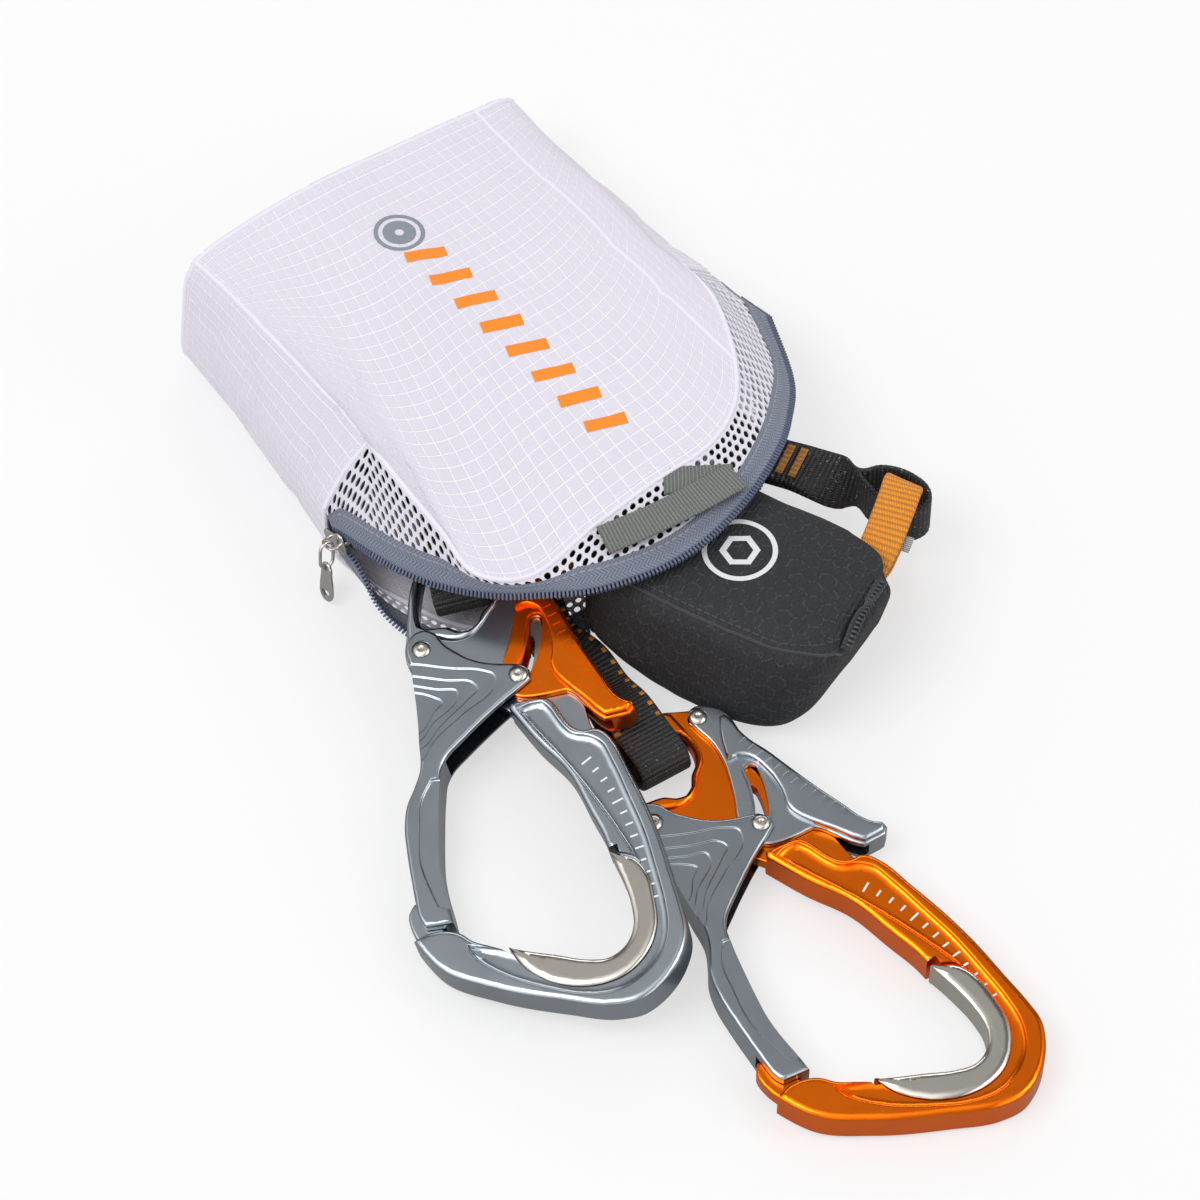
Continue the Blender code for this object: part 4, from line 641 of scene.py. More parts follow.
def knit(name, colour):
    """Knitted mesh yarn."""
    finish = Finish(name, 0.75, sheen_weight=0.3)
    yarn = finish.noise(1500.0, 3.0)
    finish.use(base_color=finish.mix(yarn, shaded(colour, 0.86), colour))
    return finish.relief(yarn, 0.00015, 0.8)


def tape(name, colour, stitch=(0.30, 0.31, 0.36)):
    """Woven zip tape in herringbone with a stitched row."""
    finish = Finish(name, 0.72, sheen_weight=0.25)
    u, v, _ = finish.axes()
    lean = finish.sum("PINGPONG", u, 0.0017)
    twill = finish.wave(v + lean * 1.1, 0.00125)
    row = finish.ramp(finish.sum("ABSOLUTE", u - 0.0017), 0.00036, 0.00018)
    dashes = row * finish.line(v, 0.0024, 0.0016, 0.0002)
    cloud = finish.noise(120.0, 2.0)
    ground = finish.mix(twill * 0.75 + cloud * 0.25, shaded(colour, 0.58), shaded(colour, 1.22))
    finish.use(base_color=finish.mix(dashes, ground, stitch))
    return finish.relief(twill * 0.6 + dashes, 0.00030, 0.9)


def nylon(name, colour, roughness=0.4):
    finish = Finish(name, roughness)
    speck = finish.noise(500.0, 3.0)
    finish.use(base_color=finish.mix(speck, shaded(colour, 0.8), shaded(colour, 1.2)))
    return finish.relief(speck, 0.0001, 0.5)


def webbing(name, colour, rib, width, glint_colour=None, glint_share=0.0, ticks=None, rib_shading=(0.42, 1.45)):
    """Woven webbing: ribs across, yarns along, painted highlight and glints on the crests with painted shade
    between them, and ticks of another yarn at its edges.
    """
    finish = Finish(name, 0.55, sheen_weight=0.06, sheen_roughness=0.5)
    u, v, _ = finish.axes()
    ribs = finish.wave(v, rib)
    yarns = finish.wave(u + v * 0.35, 0.00078)
    fuzz = finish.noise(1800.0, 3.0)
    crest = ribs * (0.45 + yarns * 0.55)
    # Painted highlight on the ribs' crests and painted shade in the hollows between them
    base = finish.mix(crest * 0.8 + fuzz * 0.2, *(shaded(colour, share) for share in rib_shading))
    # Painted glints: lighter spots laid only on the lit crests
    if glint_colour:
        glint_spot = finish.noise(820.0, 2.0, (1.0, 1.0, 1.0), "UV")
        base = finish.mix(finish.ramp(glint_spot, 0.60, 0.70) * crest * glint_share, base, glint_colour)
    if ticks:
        middle = (width - 0.0015) / 2
        side = finish.ramp(finish.sum("ABSOLUTE", u - middle), middle - 0.0014, middle - 0.0010)
        back = finish.ramp(u, width * 1.02, width * 1.1)
        mark = finish.line(v, rib * 3, 0.0010, 0.0003)
        away = 1 - finish.ramp(v, -0.068, -0.066)
        base = finish.mix(finish.sum("MINIMUM", side, mark) * (1 - back) * away * 0.85, base, ticks)
    finish.use(base_color=base)
    return finish.relief(crest + fuzz * 0.2, 0.0005, 1.0)


def honeycomb(name, colour, cell):
    """Pouch cloth: a broken weave of short yarns with a faint net of hexagons."""
    finish = Finish(name, 0.74, sheen_weight=0.03, sheen_roughness=0.4)
    u, v, _ = finish.axes()
    offs = []
    for shift in (0.0, 0.5):
        a = finish.sum("WRAP", u / cell + shift, 0.5, -0.5)
        b = finish.sum("WRAP", v / (cell * math.sqrt(3.0)) + shift, 0.5, -0.5) * math.sqrt(3.0)
        a, b = finish.sum("ABSOLUTE", a), finish.sum("ABSOLUTE", b)
        offs.append(finish.sum("MAXIMUM", a, a * 0.5 + b * (math.sqrt(3.0) / 2)))
    edge = 0.5 - finish.sum("MINIMUM", *offs)
    net = finish.ramp(edge, 0.060, 0.030)
    broken = finish.ramp(finish.noise(700.0, 1.0, (1.0, 1.0, 1.0), "UV"), 0.46, 0.56)
    column = finish.sum("MODULO", finish.sum("FLOOR", u / 0.0013), 2.0)
    yarn = finish.line(u, 0.0013, 0.0004, 0.0003)
    yarn = yarn * finish.line(v + column * 0.0014, 0.0028, 0.0015, 0.0004)
    cloud = finish.noise(34.0, 3.0)
    worn = finish.ramp(finish.noise(420.0, 3.0), 0.52, 0.70)
    ground = finish.mix(cloud, shaded(colour, 0.70), shaded(colour, 1.40))
    ground = finish.mix(yarn * worn * 0.6, ground, shaded(colour, 3.4))
    finish.use(base_color=finish.mix(net * broken * 0.9, ground, shaded(colour, 3.8)))
    return finish.relief(yarn * 0.8 + net * 0.4 + finish.noise(240.0, 3.0) * 0.9, 0.00030, 0.9)


def satin_thread(name, colour):
    """Thread laid closely side by side, with painted shade between the threads."""
    finish = Finish(name, 0.55, sheen_weight=0.3)
    _, v, _ = finish.axes()
    thread = finish.wave(v, 0.00045)
    # Painted shade darkens the gaps between the threads
    finish.use(base_color=finish.mix(thread, shaded(colour, 0.45), shaded(colour, 1.1)))
    return finish.relief(thread, 0.0003, 1.0)


def ink(name, colour):
    """Printed ink with a faint unevenness."""
    finish = Finish(name, 0.6)
    worn = finish.noise(900.0, 3.0)
    finish.use(base_color=finish.mix(worn, shaded(colour, 0.9), shaded(colour, 1.1)))
    return finish.relief(worn, 0.00003, 0.5)


# Lines and outlines

def metres(shares, span=PIVOT_TO_HEEL):
    """A table of shares as lengths."""
    return [tuple(value * span for value in row) for row in shares]


def traced(shares, closed=True):
    """A table of shares as a smooth line."""
    return smooth(metres(shares), OUTLINE_STEP, closed)


def smooth(points, step, closed=True, corners=True):
    """A smooth line through points, with its sharp corners kept where they are wanted."""
    line = [np.array(p, float) for p in points]
    count = len(line)

    def tangents(i):
        before, here, after = line[i - 1], line[i], line[(i + 1) % count]
        if not closed and i == 0:
            return after - here, after - here
        if not closed and i == count - 1:
            return here - before, here - before
        back, ahead = here - before, after - here
        turn = math.acos(max(-1.0, min(1.0, back @ ahead / np.linalg.norm(back) / np.linalg.norm(ahead))))
        if corners and turn > CORNER_TURN:
            return back, ahead
        mean = back / np.linalg.norm(back) * np.linalg.norm(ahead)
        mean = mean + ahead / np.linalg.norm(ahead) * np.linalg.norm(back)
        return mean, mean

    result = []
    for i in range(count if closed else count - 1):
        start, end = line[i], line[(i + 1) % count]
        length = np.linalg.norm(end - start)
        leave, arrive = tangents(i)[1], tangents((i + 1) % count)[0]
        leave = leave / np.linalg.norm(leave) * length
        arrive = arrive / np.linalg.norm(arrive) * length
        cuts = max(1, round(length / step))
        for k in range(cuts):
            t = k / cuts
            result.append(
                (2 * t**3 - 3 * t**2 + 1) * start + (t**3 - 2 * t**2 + t) * leave
                + (3 * t**2 - 2 * t**3) * end + (t**3 - t**2) * arrive
            )
    if not closed:
        result.append(line[-1])
    return result


def spaced(line, step):
    """A polyline read again at even steps."""
    line = np.array([np.array(p, float) for p in line])
    run = np.concatenate(([0.0], np.cumsum(np.linalg.norm(np.diff(line, axis=0), axis=1))))
    count = max(2, round(run[-1] / step) + 1)
    marks = np.linspace(0.0, run[-1], count)
    return [np.array([np.interp(m, run, line[:, k]) for k in range(line.shape[1])]) for m in marks]


def offset_line(points, distance, closed=False):
    """A line moved sideways, to the left of its direction for a positive distance."""
    line = [np.array(p, float) for p in points]
    count = len(line)
    result = []
    for i, here in enumerate(line):
        before = line[i - 1] if closed or i else here
        after = line[(i + 1) % count] if closed or i < count - 1 else here
        back, ahead = here - before, after - here
        normals = []
        for side in (back, ahead):
            length = np.linalg.norm(side)
            if length > 0.0:
                normals.append(np.array((-side[1], side[0])) / length)
        normal = sum(normals) / len(normals)
        size = np.linalg.norm(normal)
        result.append(here + distance * normal / max(0.55, size**2))
    return result


def slot_outline(path, half_width, cap=8):
    """The outline of a slot with round ends along an open path."""
    line = [np.array(p, float) for p in path]
    left, right = offset_line(line, half_width), offset_line(line, -half_width)
    result = list(right)
    for centre, start in ((line[-1], right[-1]), (line[0], left[0])):
        if start is left[0]:
            result.extend(reversed(left))
        arm = start - centre
        for k in range(1, cap):
            c, s = math.cos(math.pi * k / cap), math.sin(math.pi * k / cap)
            result.append(centre + np.array((arm[0] * c - arm[1] * s, arm[0] * s + arm[1] * c)))
    return result


def circle(centre, radius, count=40):
    return [
        (centre[0] + radius * math.cos(a), centre[1] + radius * math.sin(a))
        for a in np.linspace(0.0, math.tau, count, endpoint=False)
    ]


def quarter(steps):
    """What a quarter turn leaves of a radius, across and up, at each of its steps."""
    turns = [math.pi / 2 * k / steps for k in range(steps + 1)]
    return [(1 - math.sin(a), 1 - math.cos(a)) for a in turns]


def rounded(half, radius, steps=4, spread=1.0):
    """Insets and heights up a wall of a plate, its two edges rounded and spread inwards."""
    low = [(radius * spread * across, -half + radius * up) for across, up in quarter(steps)]
    return low + mirrored(low)


def recess(floor, face, fillet, lip, steps=3, spread=1.0):
    """Insets and heights up a cutter that leaves a filleted floor and a rounded lip, both spread."""
    wall = [(fillet * spread * across, floor + fillet * up) for across, up in quarter(steps)]
    wall += [(-lip * spread * up, face - lip * across) for across, up in quarter(steps)]
    return wall + [(-lip * spread * 1.4, face + OVERRUN)]


def straight(low, high):
    return [(0.0, low), (0.0, high)]


def mirrored(profile):
    return [(inset, -height) for inset, height in reversed(profile)]


# Modelling

def pick(*objects):
    """Select these objects alone, the last one active."""
    bpy.ops.object.select_all(action="DESELECT")
    for item in objects:
        item.select_set(True)
    bpy.context.view_layer.objects.active = objects[-1]


def linked(name, data):
    """A new object in the scene."""
    made = bpy.data.objects.new(name, data)
    bpy.context.scene.collection.objects.link(made)
    return made


def edited(made, *steps):
    """Run steps in edit mode, each on the whole of a piece."""
    pick(made)
    bpy.ops.object.mode_set(mode="EDIT")
    for step in steps:
        bpy.ops.mesh.select_all(action="SELECT")
        step()
    bpy.ops.object.mode_set(mode="OBJECT")


def modified(made, kind, **settings):
    """Put a modifier on a piece and apply it."""
    pick(made)
    bpy.ops.object.modifier_add(type=kind)
    step = made.modifiers[-1]
    for name, value in settings.items():
        setattr(step, name, value)
    bpy.ops.object.modifier_apply(modifier=step.name)


def outwards():
    bpy.ops.mesh.normals_make_consistent(inside=False)


def quads(rows, across, closed=True):
    """Faces between rows of points, closed round each row or open."""
    faces = []
    for low in range(0, (rows - 1) * across, across):
        high = low + across
        for j in range(across if closed else across - 1):
            k = (j + 1) % across
            faces.append((low + j, low + k, high + k, high + j))
    return faces


def draw(name, points, faces, spread=None):
    """A mesh object from points and faces, with its spread in metres as a UV map."""
    mesh = bpy.data.meshes.new(name)
    mesh.from_pydata([tuple(float(v) for v in p) for p in points], [], faces)
    if spread:
        layer = mesh.uv_layers.new(name="spread")
        for loop in mesh.loops:
            layer.data[loop.index].uv = spread[loop.vertex_index]
    return linked(name, mesh)


def room(ring):
    """How far each point of a closed outline can move inwards before it meets the other side."""
    line = np.array([tuple(p)[:2] for p in ring], float)
    steps = np.linalg.norm(np.roll(line, -1, axis=0) - line, axis=1)
    run = np.concatenate(([0.0], np.cumsum(steps)))
    whole = run[-1]
    apart = np.linalg.norm(line[:, None] - line[None, :], axis=2)
    walk = np.abs(run[:-1][:, None] - run[:-1][None, :])
    walk = np.minimum(walk, whole - walk)
    facing = np.where(walk > 1.5 * apart + 1e-9, apart, np.inf)
    limit = facing.min(axis=1) * 0.36
    # A bend that is rounded to a radius takes no more than most of that radius
    for reach in (1, 2, 3):
        back = line - np.roll(line, reach, axis=0)
        ahead = np.roll(line, -reach, axis=0) - line
        turn = np.arctan2(back[:, 0] * ahead[:, 1] - back[:, 1] * ahead[:, 0], (back * ahead).sum(axis=1))
        size = (np.linalg.norm(back, axis=1) + np.linalg.norm(ahead, axis=1)) / 2
        limit = np.where(turn > 0.02, np.minimum(limit, 0.7 * size / np.maximum(turn, 0.02)), limit)
    for _ in range(len(line)):
        limit = np.minimum(limit, np.minimum(np.roll(limit, 1), np.roll(limit, -1)) + steps.mean() * 0.4)
    return limit


def plate(name, outline, profile):
    """A plate or a cutter from a closed outline, its wall led through insets and heights."""
    area = sum(a[0] * b[1] - b[0] * a[1] for a, b in zip(outline, list(outline[1:]) + [outline[0]]))
    ring = [np.array(tuple(p)[:2], float) for p in (outline if area > 0 else reversed(list(outline)))]
    count = len(ring)
    points = []
    inward = [moved - p for moved, p in zip(offset_line(ring, 0.001, closed=True), ring)]
    limit = room(ring) if any(inset > 0 for inset, height in profile) else [0.0] * count
    for inset, height in profile:
        for p, way, most in zip(ring, inward, limit):
            reach = inset if inset <= 0 else min(inset, most)
            points.append((p[0] + way[0] * reach * 1000, p[1] + way[1] * reach * 1000, height))
    floor = tuple(range(count - 1, -1, -1))
    lid = tuple(range(len(points) - count, len(points)))
    return draw(name, points, [floor] + quads(len(profile), count) + [lid])


def cut(target, tools, operation="DIFFERENCE", folded=False):
    """Cut each tool from a piece, or join it on, and remove the tool; a folded one crosses itself."""
    for tool in tools:
        modified(target, "BOOLEAN", operation=operation, solver="EXACT", use_self=folded, object=tool)
        bpy.data.objects.remove(tool)


def both_faces(name, outline, profile):
    return [plate(name + "_front", outline, profile), plate(name + "_back", outline, mirrored(profile))]


def drum(name, radius, low, high, centre=(0.0, 0.0), sides=40):
    bpy.ops.mesh.primitive_cylinder_add(
        vertices=sides, radius=radius, depth=high - low, location=(centre[0], centre[1], (low + high) / 2)
    )
    made = bpy.context.object
    made.name = name
    settle(made)
    return made


def settle(made):
    """Put an object's place into its mesh."""
    made.data.transform(made.matrix_world)
    made.matrix_world = Matrix.Identity(4)


def block(name, size, centre, bevel, segments=2):
    """A bevelled block."""
    bpy.ops.mesh.primitive_cube_add(size=1.0, location=centre)
    made = bpy.context.object
    made.name = name
    made.scale = size
    bpy.context.view_layer.update()
    settle(made)
    edited(made, lambda: bpy.ops.mesh.bevel(offset=bevel, segments=segments, affect="EDGES"))
    return made


def turned(name, side, sides=40):
    """A round piece spun from its side's radii and heights."""
    mesh = bpy.data.meshes.new(name)
    mesh.from_pydata([(r, 0.0, z) for r, z in side], [(i, i + 1) for i in range(len(side) - 1)], [])
    made = linked(name, mesh)
    axis = {"center": (0.0, 0.0, 0.0), "axis": (0.0, 0.0, 1.0)}
    edited(made, lambda: bpy.ops.mesh.spin(steps=sides, angle=math.tau, **axis),
           lambda: bpy.ops.mesh.remove_doubles(threshold=GAP / 100), outwards)
    return made


def wire(name, points, radius, closed=False, sides=10):
    """A round wire along points."""
    line = [Vector(p) for p in points]
    count = len(line)
    rows, normal = [], None
    for i, here in enumerate(line):
        before = line[i - 1] if closed or i else here
        after = line[(i + 1) % count] if closed or i < count - 1 else here
        ahead = (after - before).normalized()
        if normal is None:
            normal = ahead.orthogonal().normalized()
        normal = (normal - ahead * normal.dot(ahead)).normalized()
        side = ahead.cross(normal)
        rows.append([
            here + (normal * math.cos(a) + side * math.sin(a)) * radius
            for a in np.linspace(0.0, math.tau, sides, endpoint=False)
        ])
    if closed:
        rows.append(rows[0])
    points = [p for row in rows for p in row]
    faces = quads(len(rows), sides)
    if not closed:
        faces.append(tuple(range(sides - 1, -1, -1)))
        faces.append(tuple(range(len(points) - sides, len(points))))
    made = draw(name, points, faces)
    clean(made)
    return made


def clean(made, limit=GAP / 100):
    """Merge doubles and turn the faces outwards."""
    edited(made, lambda: bpy.ops.mesh.remove_doubles(threshold=limit), outwards)


def shade(made, degrees=32.0):
    pick(made)
    bpy.ops.object.shade_smooth_by_angle(angle=math.radians(degrees))


def flatten(made, degrees=32.0):
    """Smooth shading whose rounded edges leave the flat faces flat."""
    shade(made, degrees)
    modified(made, "TRIANGULATE", ngon_method="CLIP")
    modified(made, "WEIGHTED_NORMAL", keep_sharp=True)


def joined(name, pieces):
    """One object from several."""
    pick(*pieces)
    bpy.ops.object.join()
    made = bpy.context.object
    made.name = name
    return made


def cloth(name, rows, thickness, capped=False):
    """A cloth panel lofted through rows of points, with its thickness and its spread in metres."""
    across = len(rows[0])
    points = [tuple(p) for row in rows for p in row]
    grid = np.array(points).reshape(len(rows), across, 3)
    down = np.zeros((len(rows), across))
    down[1:] = np.cumsum(np.linalg.norm(np.diff(grid, axis=0), axis=2), axis=0)
    down[:] = down.mean(axis=1)[:, None]
    side = np.zeros((len(rows), across))
    side[:, 1:] = np.cumsum(np.linalg.norm(np.diff(grid, axis=1), axis=2), axis=1)
    side[:] = side.mean(axis=0)[None, :]
    spread = [(side[i, j], down[i, j]) for i in range(len(rows)) for j in range(across)]
    faces = quads(len(rows), across, closed=False)
    if capped:
        faces.append(tuple(range(len(points) - across, len(points))))
    made = draw(name, points, faces, spread)
    clean(made)
    thicken(made, thickness)
    return made


def thicken(made, thickness):
    """Give a sheet its wall and its soft shading."""
    modified(made, "SOLIDIFY", thickness=thickness, offset=0.0)
    shade(made, SMOOTH_TURN)


def along(points, across, step):
    """Stations of a strap on a smooth route, with its directions across eased from point to point."""
    both = [np.concatenate((np.array(p), np.array(a) * step)) for p, a in zip(points, across)]
    result = []
    for row in smooth(both, step, closed=False):
        a = Vector(row[3:])
        result.append((Vector(row[:3]), a.normalized()))
    return result


def band(name, stations, width, thickness, rib, swell=0.0, edge=5):
    """Woven webbing along stations: a rounded section, ribs across it and its spread in metres."""
    both = [np.concatenate((np.array(c), np.array(a) * 0.005)) for c, a in stations]
    fine = smooth(both, rib, closed=False, corners=False)
    run = [0.0]
    for a, b in zip(fine, fine[1:]):
        run.append(run[-1] + float(np.linalg.norm(b[:3] - a[:3])))
    count = max(8, round(run[-1] / (rib / 4)))
    marks = np.linspace(0.0, run[-1], count)
    table = np.array(fine)
    rows = [np.array([np.interp(m, run, table[:, k]) for k in range(6)]) for m in marks]
    flat = []
    half, radius = width / 2, thickness / 2
    for k in range(7):
        flat.append((half - radius - 2 * (half - radius) * k / 6, 1.0))
    arc = [(math.cos(a), math.sin(a)) for a in np.linspace(math.pi / 2, math.pi * 1.5, edge)][1:-1]
    section = list(flat)
    section += [(-half + radius + radius * c, s) for c, s in arc]
    section += [(-x, -1.0) for x, _ in flat]
    section += [(half - radius - radius * c, -s) for c, s in arc]
    points, spread = [], []
    outline = [0.0]
    for a, b in zip(section, section[1:]):
        outline.append(outline[-1] + math.hypot(b[0] - a[0], (b[1] - a[1]) * radius))
    for i, (mark, row) in enumerate(zip(marks, rows)):
        here = Vector(row[:3])
        before, after = rows[max(i - 1, 0)], rows[min(i + 1, count - 1)]
        ahead = Vector(after[:3] - before[:3]).normalized()
        side = Vector(row[3:]).normalized()
        side = (side - ahead * side.dot(ahead)).normalized()
        rise = ahead.cross(side)
        grow = 1.0 + swell * math.cos(math.tau * mark / rib)
        for k, (x, z) in enumerate(section):
            points.append(here + side * x + rise * z * radius * grow)
            spread.append((outline[k], mark - run[-1]))
    across = len(section)
    faces = [tuple(range(across))]
    faces += [(b, a, d, c) for a, b, c, d in quads(count, across)]
    faces.append(tuple(range(len(points) - 1, len(points) - across - 1, -1)))
    made = draw(name, points, faces, spread)
    edited(made, outwards)
    shade(made, SMOOTH_TURN)
    return made


def placed(x, y, z, turn, rise_across=0.0, rise_along=0.0):
    """A place in the layout plane, with its plane tilted by its two rises."""
    across = Vector((1.0, 0.0, rise_across)).normalized()
    normal = Vector((-rise_across, -rise_along, 1.0)).normalized()
    upward = normal.cross(across)
    local = Matrix((across, upward, normal)).transposed().to_4x4()
    return Matrix.Translation((x, y, z)) @ Matrix.Rotation(turn, 4, "Z") @ local


def dress(made, finish, body, nodes=(), move=True):
    """Give a piece its finish, its body and the nodes that it stands for."""
    if move:
        made.data.transform(Matrix.Translation(SHIFT))
    made.data.materials.clear()
    made.data.materials.append(finish)
    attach(made, body)
    if nodes:
        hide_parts(*nodes)
    return made


def sewn(made, finish, slot, *nodes, move=True):
    """Dress a piece that rides on the bag."""
    return dress(made, finish, "bag", nodes, move)


# Carabiner

def frame_piece(edge, insert_outer, insert_inner, guide, lever_pivot):
    """The frame: a hook, its web and eye, a groove, the insert's seat and the bores and pockets."""
    above = GATE_HALF + OVERRUN
    made = plate("frame", traced(HOOK_SHARES), rounded(HOOK_HALF, edge, 6, 1.25))
    cut(made, [
        plate("head_web", traced(HEAD_SHARES), rounded(WEB_HALF, 0.0005, 3)),
        plate("eye_rim", traced(RING_SHARES), rounded(RING_HALF, EYE_ROUNDING, 5)),
        plate("nose", traced(NOSE_SHARES), rounded(NOSE_HALF, 0.0008, 4)),
    ], "UNION")
    groove = recess(HOOK_HALF - GROOVE_DEPTH, HOOK_HALF, 0.0009, 0.0003, 5, 2.3)
    cut(made, both_faces("groove", traced(GROOVE_SHARES), groove), folded=True)

    flare = [(inset, -RING_HALF + rise) for inset, rise in EYE_FLARE]
    inner_half = RING_HALF - EYE_ROUNDING
    eye_wall = flare + straight(-inner_half, inner_half) + mirrored(flare)
    seat = offset_line(insert_outer, GAP) + insert_inner[1:-1]
    seat_line = traced((INSERT_SEAT_ENDS[0],) + INSERT_INNER_SHARES + (INSERT_SEAT_ENDS[1],), False)
    wall = offset_line(seat_line, -INSERT_WALL - GAP) + offset_line(seat_line, INSERT_WALL)[::-1]
    radius = math.hypot(*guide)
    first = math.atan2(guide[1], guide[0])
    turns = [first + GUIDE_TURN * k / 12 for k in range(13)]
    guide_path = [(radius * math.cos(a), radius * math.sin(a)) for a in turns]
    bottom = WEB_HALF - SPRING_POCKET
    room_round = SPRING_WIRE / 2 + GAP
    cut(made, [
        plate("eye_cut", traced(EYE_SHARES), eye_wall),
        *both_faces("insert_seat", seat, straight(INSERT_HALF - INSERT_PLATE - GAP, above)),
        plate("insert_wall_seat", wall, straight(-above, above)),
        plate("guide_slot", slot_outline(guide_path, PIN_BORE + GAP), straight(-above, above)),
        drum("pivot_bore", PIN_BORE, -above, above),
        drum("gate_spring_pocket", GATE_SPRING_RADIUS + room_round, bottom, above),
        drum("lever_bore", PIN_BORE, -above, above, lever_pivot),
        drum("lever_spring_pocket", LEVER_SPRING_RADIUS + room_round, bottom, above, lever_pivot),
    ])
    return made


def head_seats(name, half, place):
    """Cutters for the seats of a pin's two heads."""
    result = []
    for sign in (1, -1):
        ends = sorted((sign * (half - HEAD_SEAT), sign * (GATE_HALF + OVERRUN)))
        result.append(drum(name, HEAD_RADIUS + GAP, *ends, place))
    return result


def gate_piece(guide):
    """The gate: a forked arm with a slotted tip, a stepped chevron and a shallow recess along it."""
    above = GATE_HALF + OVERRUN
    made = plate("gate", traced(GATE_SHARES), rounded(GATE_HALF, 0.0011, 5))
    cuts = [
        plate("fork", metres(FORK_SHARES), straight(-GATE_SLOT_HALF, GATE_SLOT_HALF)),
        plate("tip_slot", metres(TIP_SLOT_SHARES), straight(-TIP_SLOT_HALF, TIP_SLOT_HALF)),
    ]
    for level, shares in enumerate(CHEVRON_SHARES):
        floor = GATE_HALF - CHEVRON_STEP * (level + 1)
        outline = smooth(metres(shares), 0.0011, corners=False)
        wall = recess(floor, floor + CHEVRON_STEP, 0.00016, 0.00018, 3, 1.7)
        cuts += both_faces(f"chevron_{level}", outline, wall)
    wall = recess(GATE_HALF - GATE_STEP * 3, GATE_HALF, 0.0004, 0.0003)
    cuts += both_faces("arm_recess", traced(ARM_RECESS_SHARES), wall)
    for place in ((0.0, 0.0), guide):
        cuts.append(drum("gate_bore", PIN_BORE, -above, above, place))
        cuts += head_seats("gate_seat", GATE_HALF, place)
    cut(made, cuts)
    return made


def lever_piece(lever_pivot):
    """The lever: a plate with a thicker rail, a channel for the frame, a curved slot and strokes."""
    above = GATE_HALF + OVERRUN
    made = plate("lever", traced(LEVER_SHARES), rounded(LEVER_HALF, 0.0007, 4))
    cut(made, [plate("rail", traced(RAIL_SHARES), rounded(RAIL_HALF, 0.0011, 4))], "UNION")
    slot_path = traced(LEVER_SLOT_SHARES, False)
    lip = recess(LEVER_HALF - 0.0005, LEVER_HALF, 0.0001, 0.0002, 2)
    cuts = [
        plate("channel", metres(CHANNEL_SHARES), straight(-LEVER_CHANNEL_HALF, LEVER_CHANNEL_HALF)),
        plate("lever_slot", slot_outline(slot_path, PIN_BORE + GAP / 2), straight(-above, above)),
        drum("lever_pin_bore", PIN_BORE, -above, above, lever_pivot),
        *both_faces("slot_lip", slot_outline(slot_path, PIN_BORE + 0.0009), lip),
        *head_seats("lever_seat", LEVER_HALF, lever_pivot),
    ]
    for outline in strokes(STROKE_SHARES, 0.0034, (0.0013,), 0.00022):
        cuts += both_faces("stroke", outline, straight(RAIL_HALF - 0.00025, above))
    cut(made, cuts)
    return made


def insert_piece(insert_outer, insert_inner):
    """The polished wear insert: a plate on each face of the hook, joined by a wall inside it."""
    made = plate("steel_insert", insert_outer + insert_inner[1:-1], rounded(INSERT_HALF, 0.0009, 6, 2.2))
    wall = offset_line(insert_inner, -INSERT_WALL)
    far = offset_line(insert_inner, -PIVOT_TO_HEEL / 4)
    core_half = INSERT_HALF - INSERT_PLATE
    cut(made, [plate("insert_core", list(wall) + list(reversed(far)), straight(-core_half, core_half))])
    return made


def printed_ticks():
    """Plain ticks printed along the floor of the frame's groove."""
    ticks = []
    floor = HOOK_HALF - GROOVE_DEPTH
    for outline in strokes(TICK_SHARES, 0.0042, (0.0017, 0.0011, 0.0011, 0.0011), 0.00028)[:TICK_COUNT]:
        for sign in (1, -1):
            ends = sorted((sign * (floor - 0.00005), sign * (floor + 0.00006)))
            ticks.append(plate("tick", outline, straight(*ends)))
    return joined("ticks", ticks)


def carabiner_pieces(edge):
    """One palm-squeeze carabiner in its own plane: its pieces by name."""
    guide, lever_pivot = metres((GUIDE_PIN_SHARES, LEVER_PIVOT_SHARES))
    ends = (INSERT_OUTER_SHARES[-1],), (INSERT_OUTER_SHARES[0],)
    insert_inner = traced(ends[0] + INSERT_INNER_SHARES + ends[1], False)
    insert_outer = traced(INSERT_OUTER_SHARES, False)
    made = {
        "frame": frame_piece(edge, insert_outer, insert_inner, guide, lever_pivot),
        "gate": gate_piece(guide),
        "lever": lever_piece(lever_pivot),
        "steel_insert": insert_piece(insert_outer, insert_inner),
        "gate_rivet": rivet("gate_rivet", (0.0, 0.0), GATE_HALF - HEAD_SEAT + GAP),
        "guide_pin": rivet("guide_pin", guide, GATE_HALF - HEAD_SEAT + GAP),
        "lever_rivet": rivet("lever_rivet", lever_pivot, LEVER_HALF - HEAD_SEAT + GAP),
        "ticks": printed_ticks(),
    }
    for piece in made.values():
        clean(piece, GAP / 60)
        flatten(piece)
    return made


def strokes(shares, pitch, halves, half_width):
    """Outlines of short strokes across a route at even steps, with the half lengths taken in turn."""
    path = spaced(smooth(metres(shares), 0.001, closed=False), pitch)
    result = []
    for number, (before, here, after) in enumerate(zip(path, path[1:], path[2:])):
        ahead = (after - before) / np.linalg.norm(after - before)
        side = np.array((-ahead[1], ahead[0])) * halves[number % len(halves)]
        start, end = here - side, here + side
        x, y = end - start
        across = np.array((-y, x)) / np.linalg.norm(end - start) * half_width
        result.append([start - across, end - across, end + across, start + across])
    return result


def rivet(name, place, low):
    """A pin with a dimpled dome at each end."""
    high = low + HEAD_RISE
    side = [(HEAD_RADIUS * share, high - drop) for share, drop in DOME]
    side += [(HEAD_RADIUS, low), (PIN_RADIUS, low)]
    made = turned(name, side + [(x, -z) for x, z in reversed(side)])
    made.data.transform(Matrix.Translation((place[0], place[1], 0.0)))
    return made


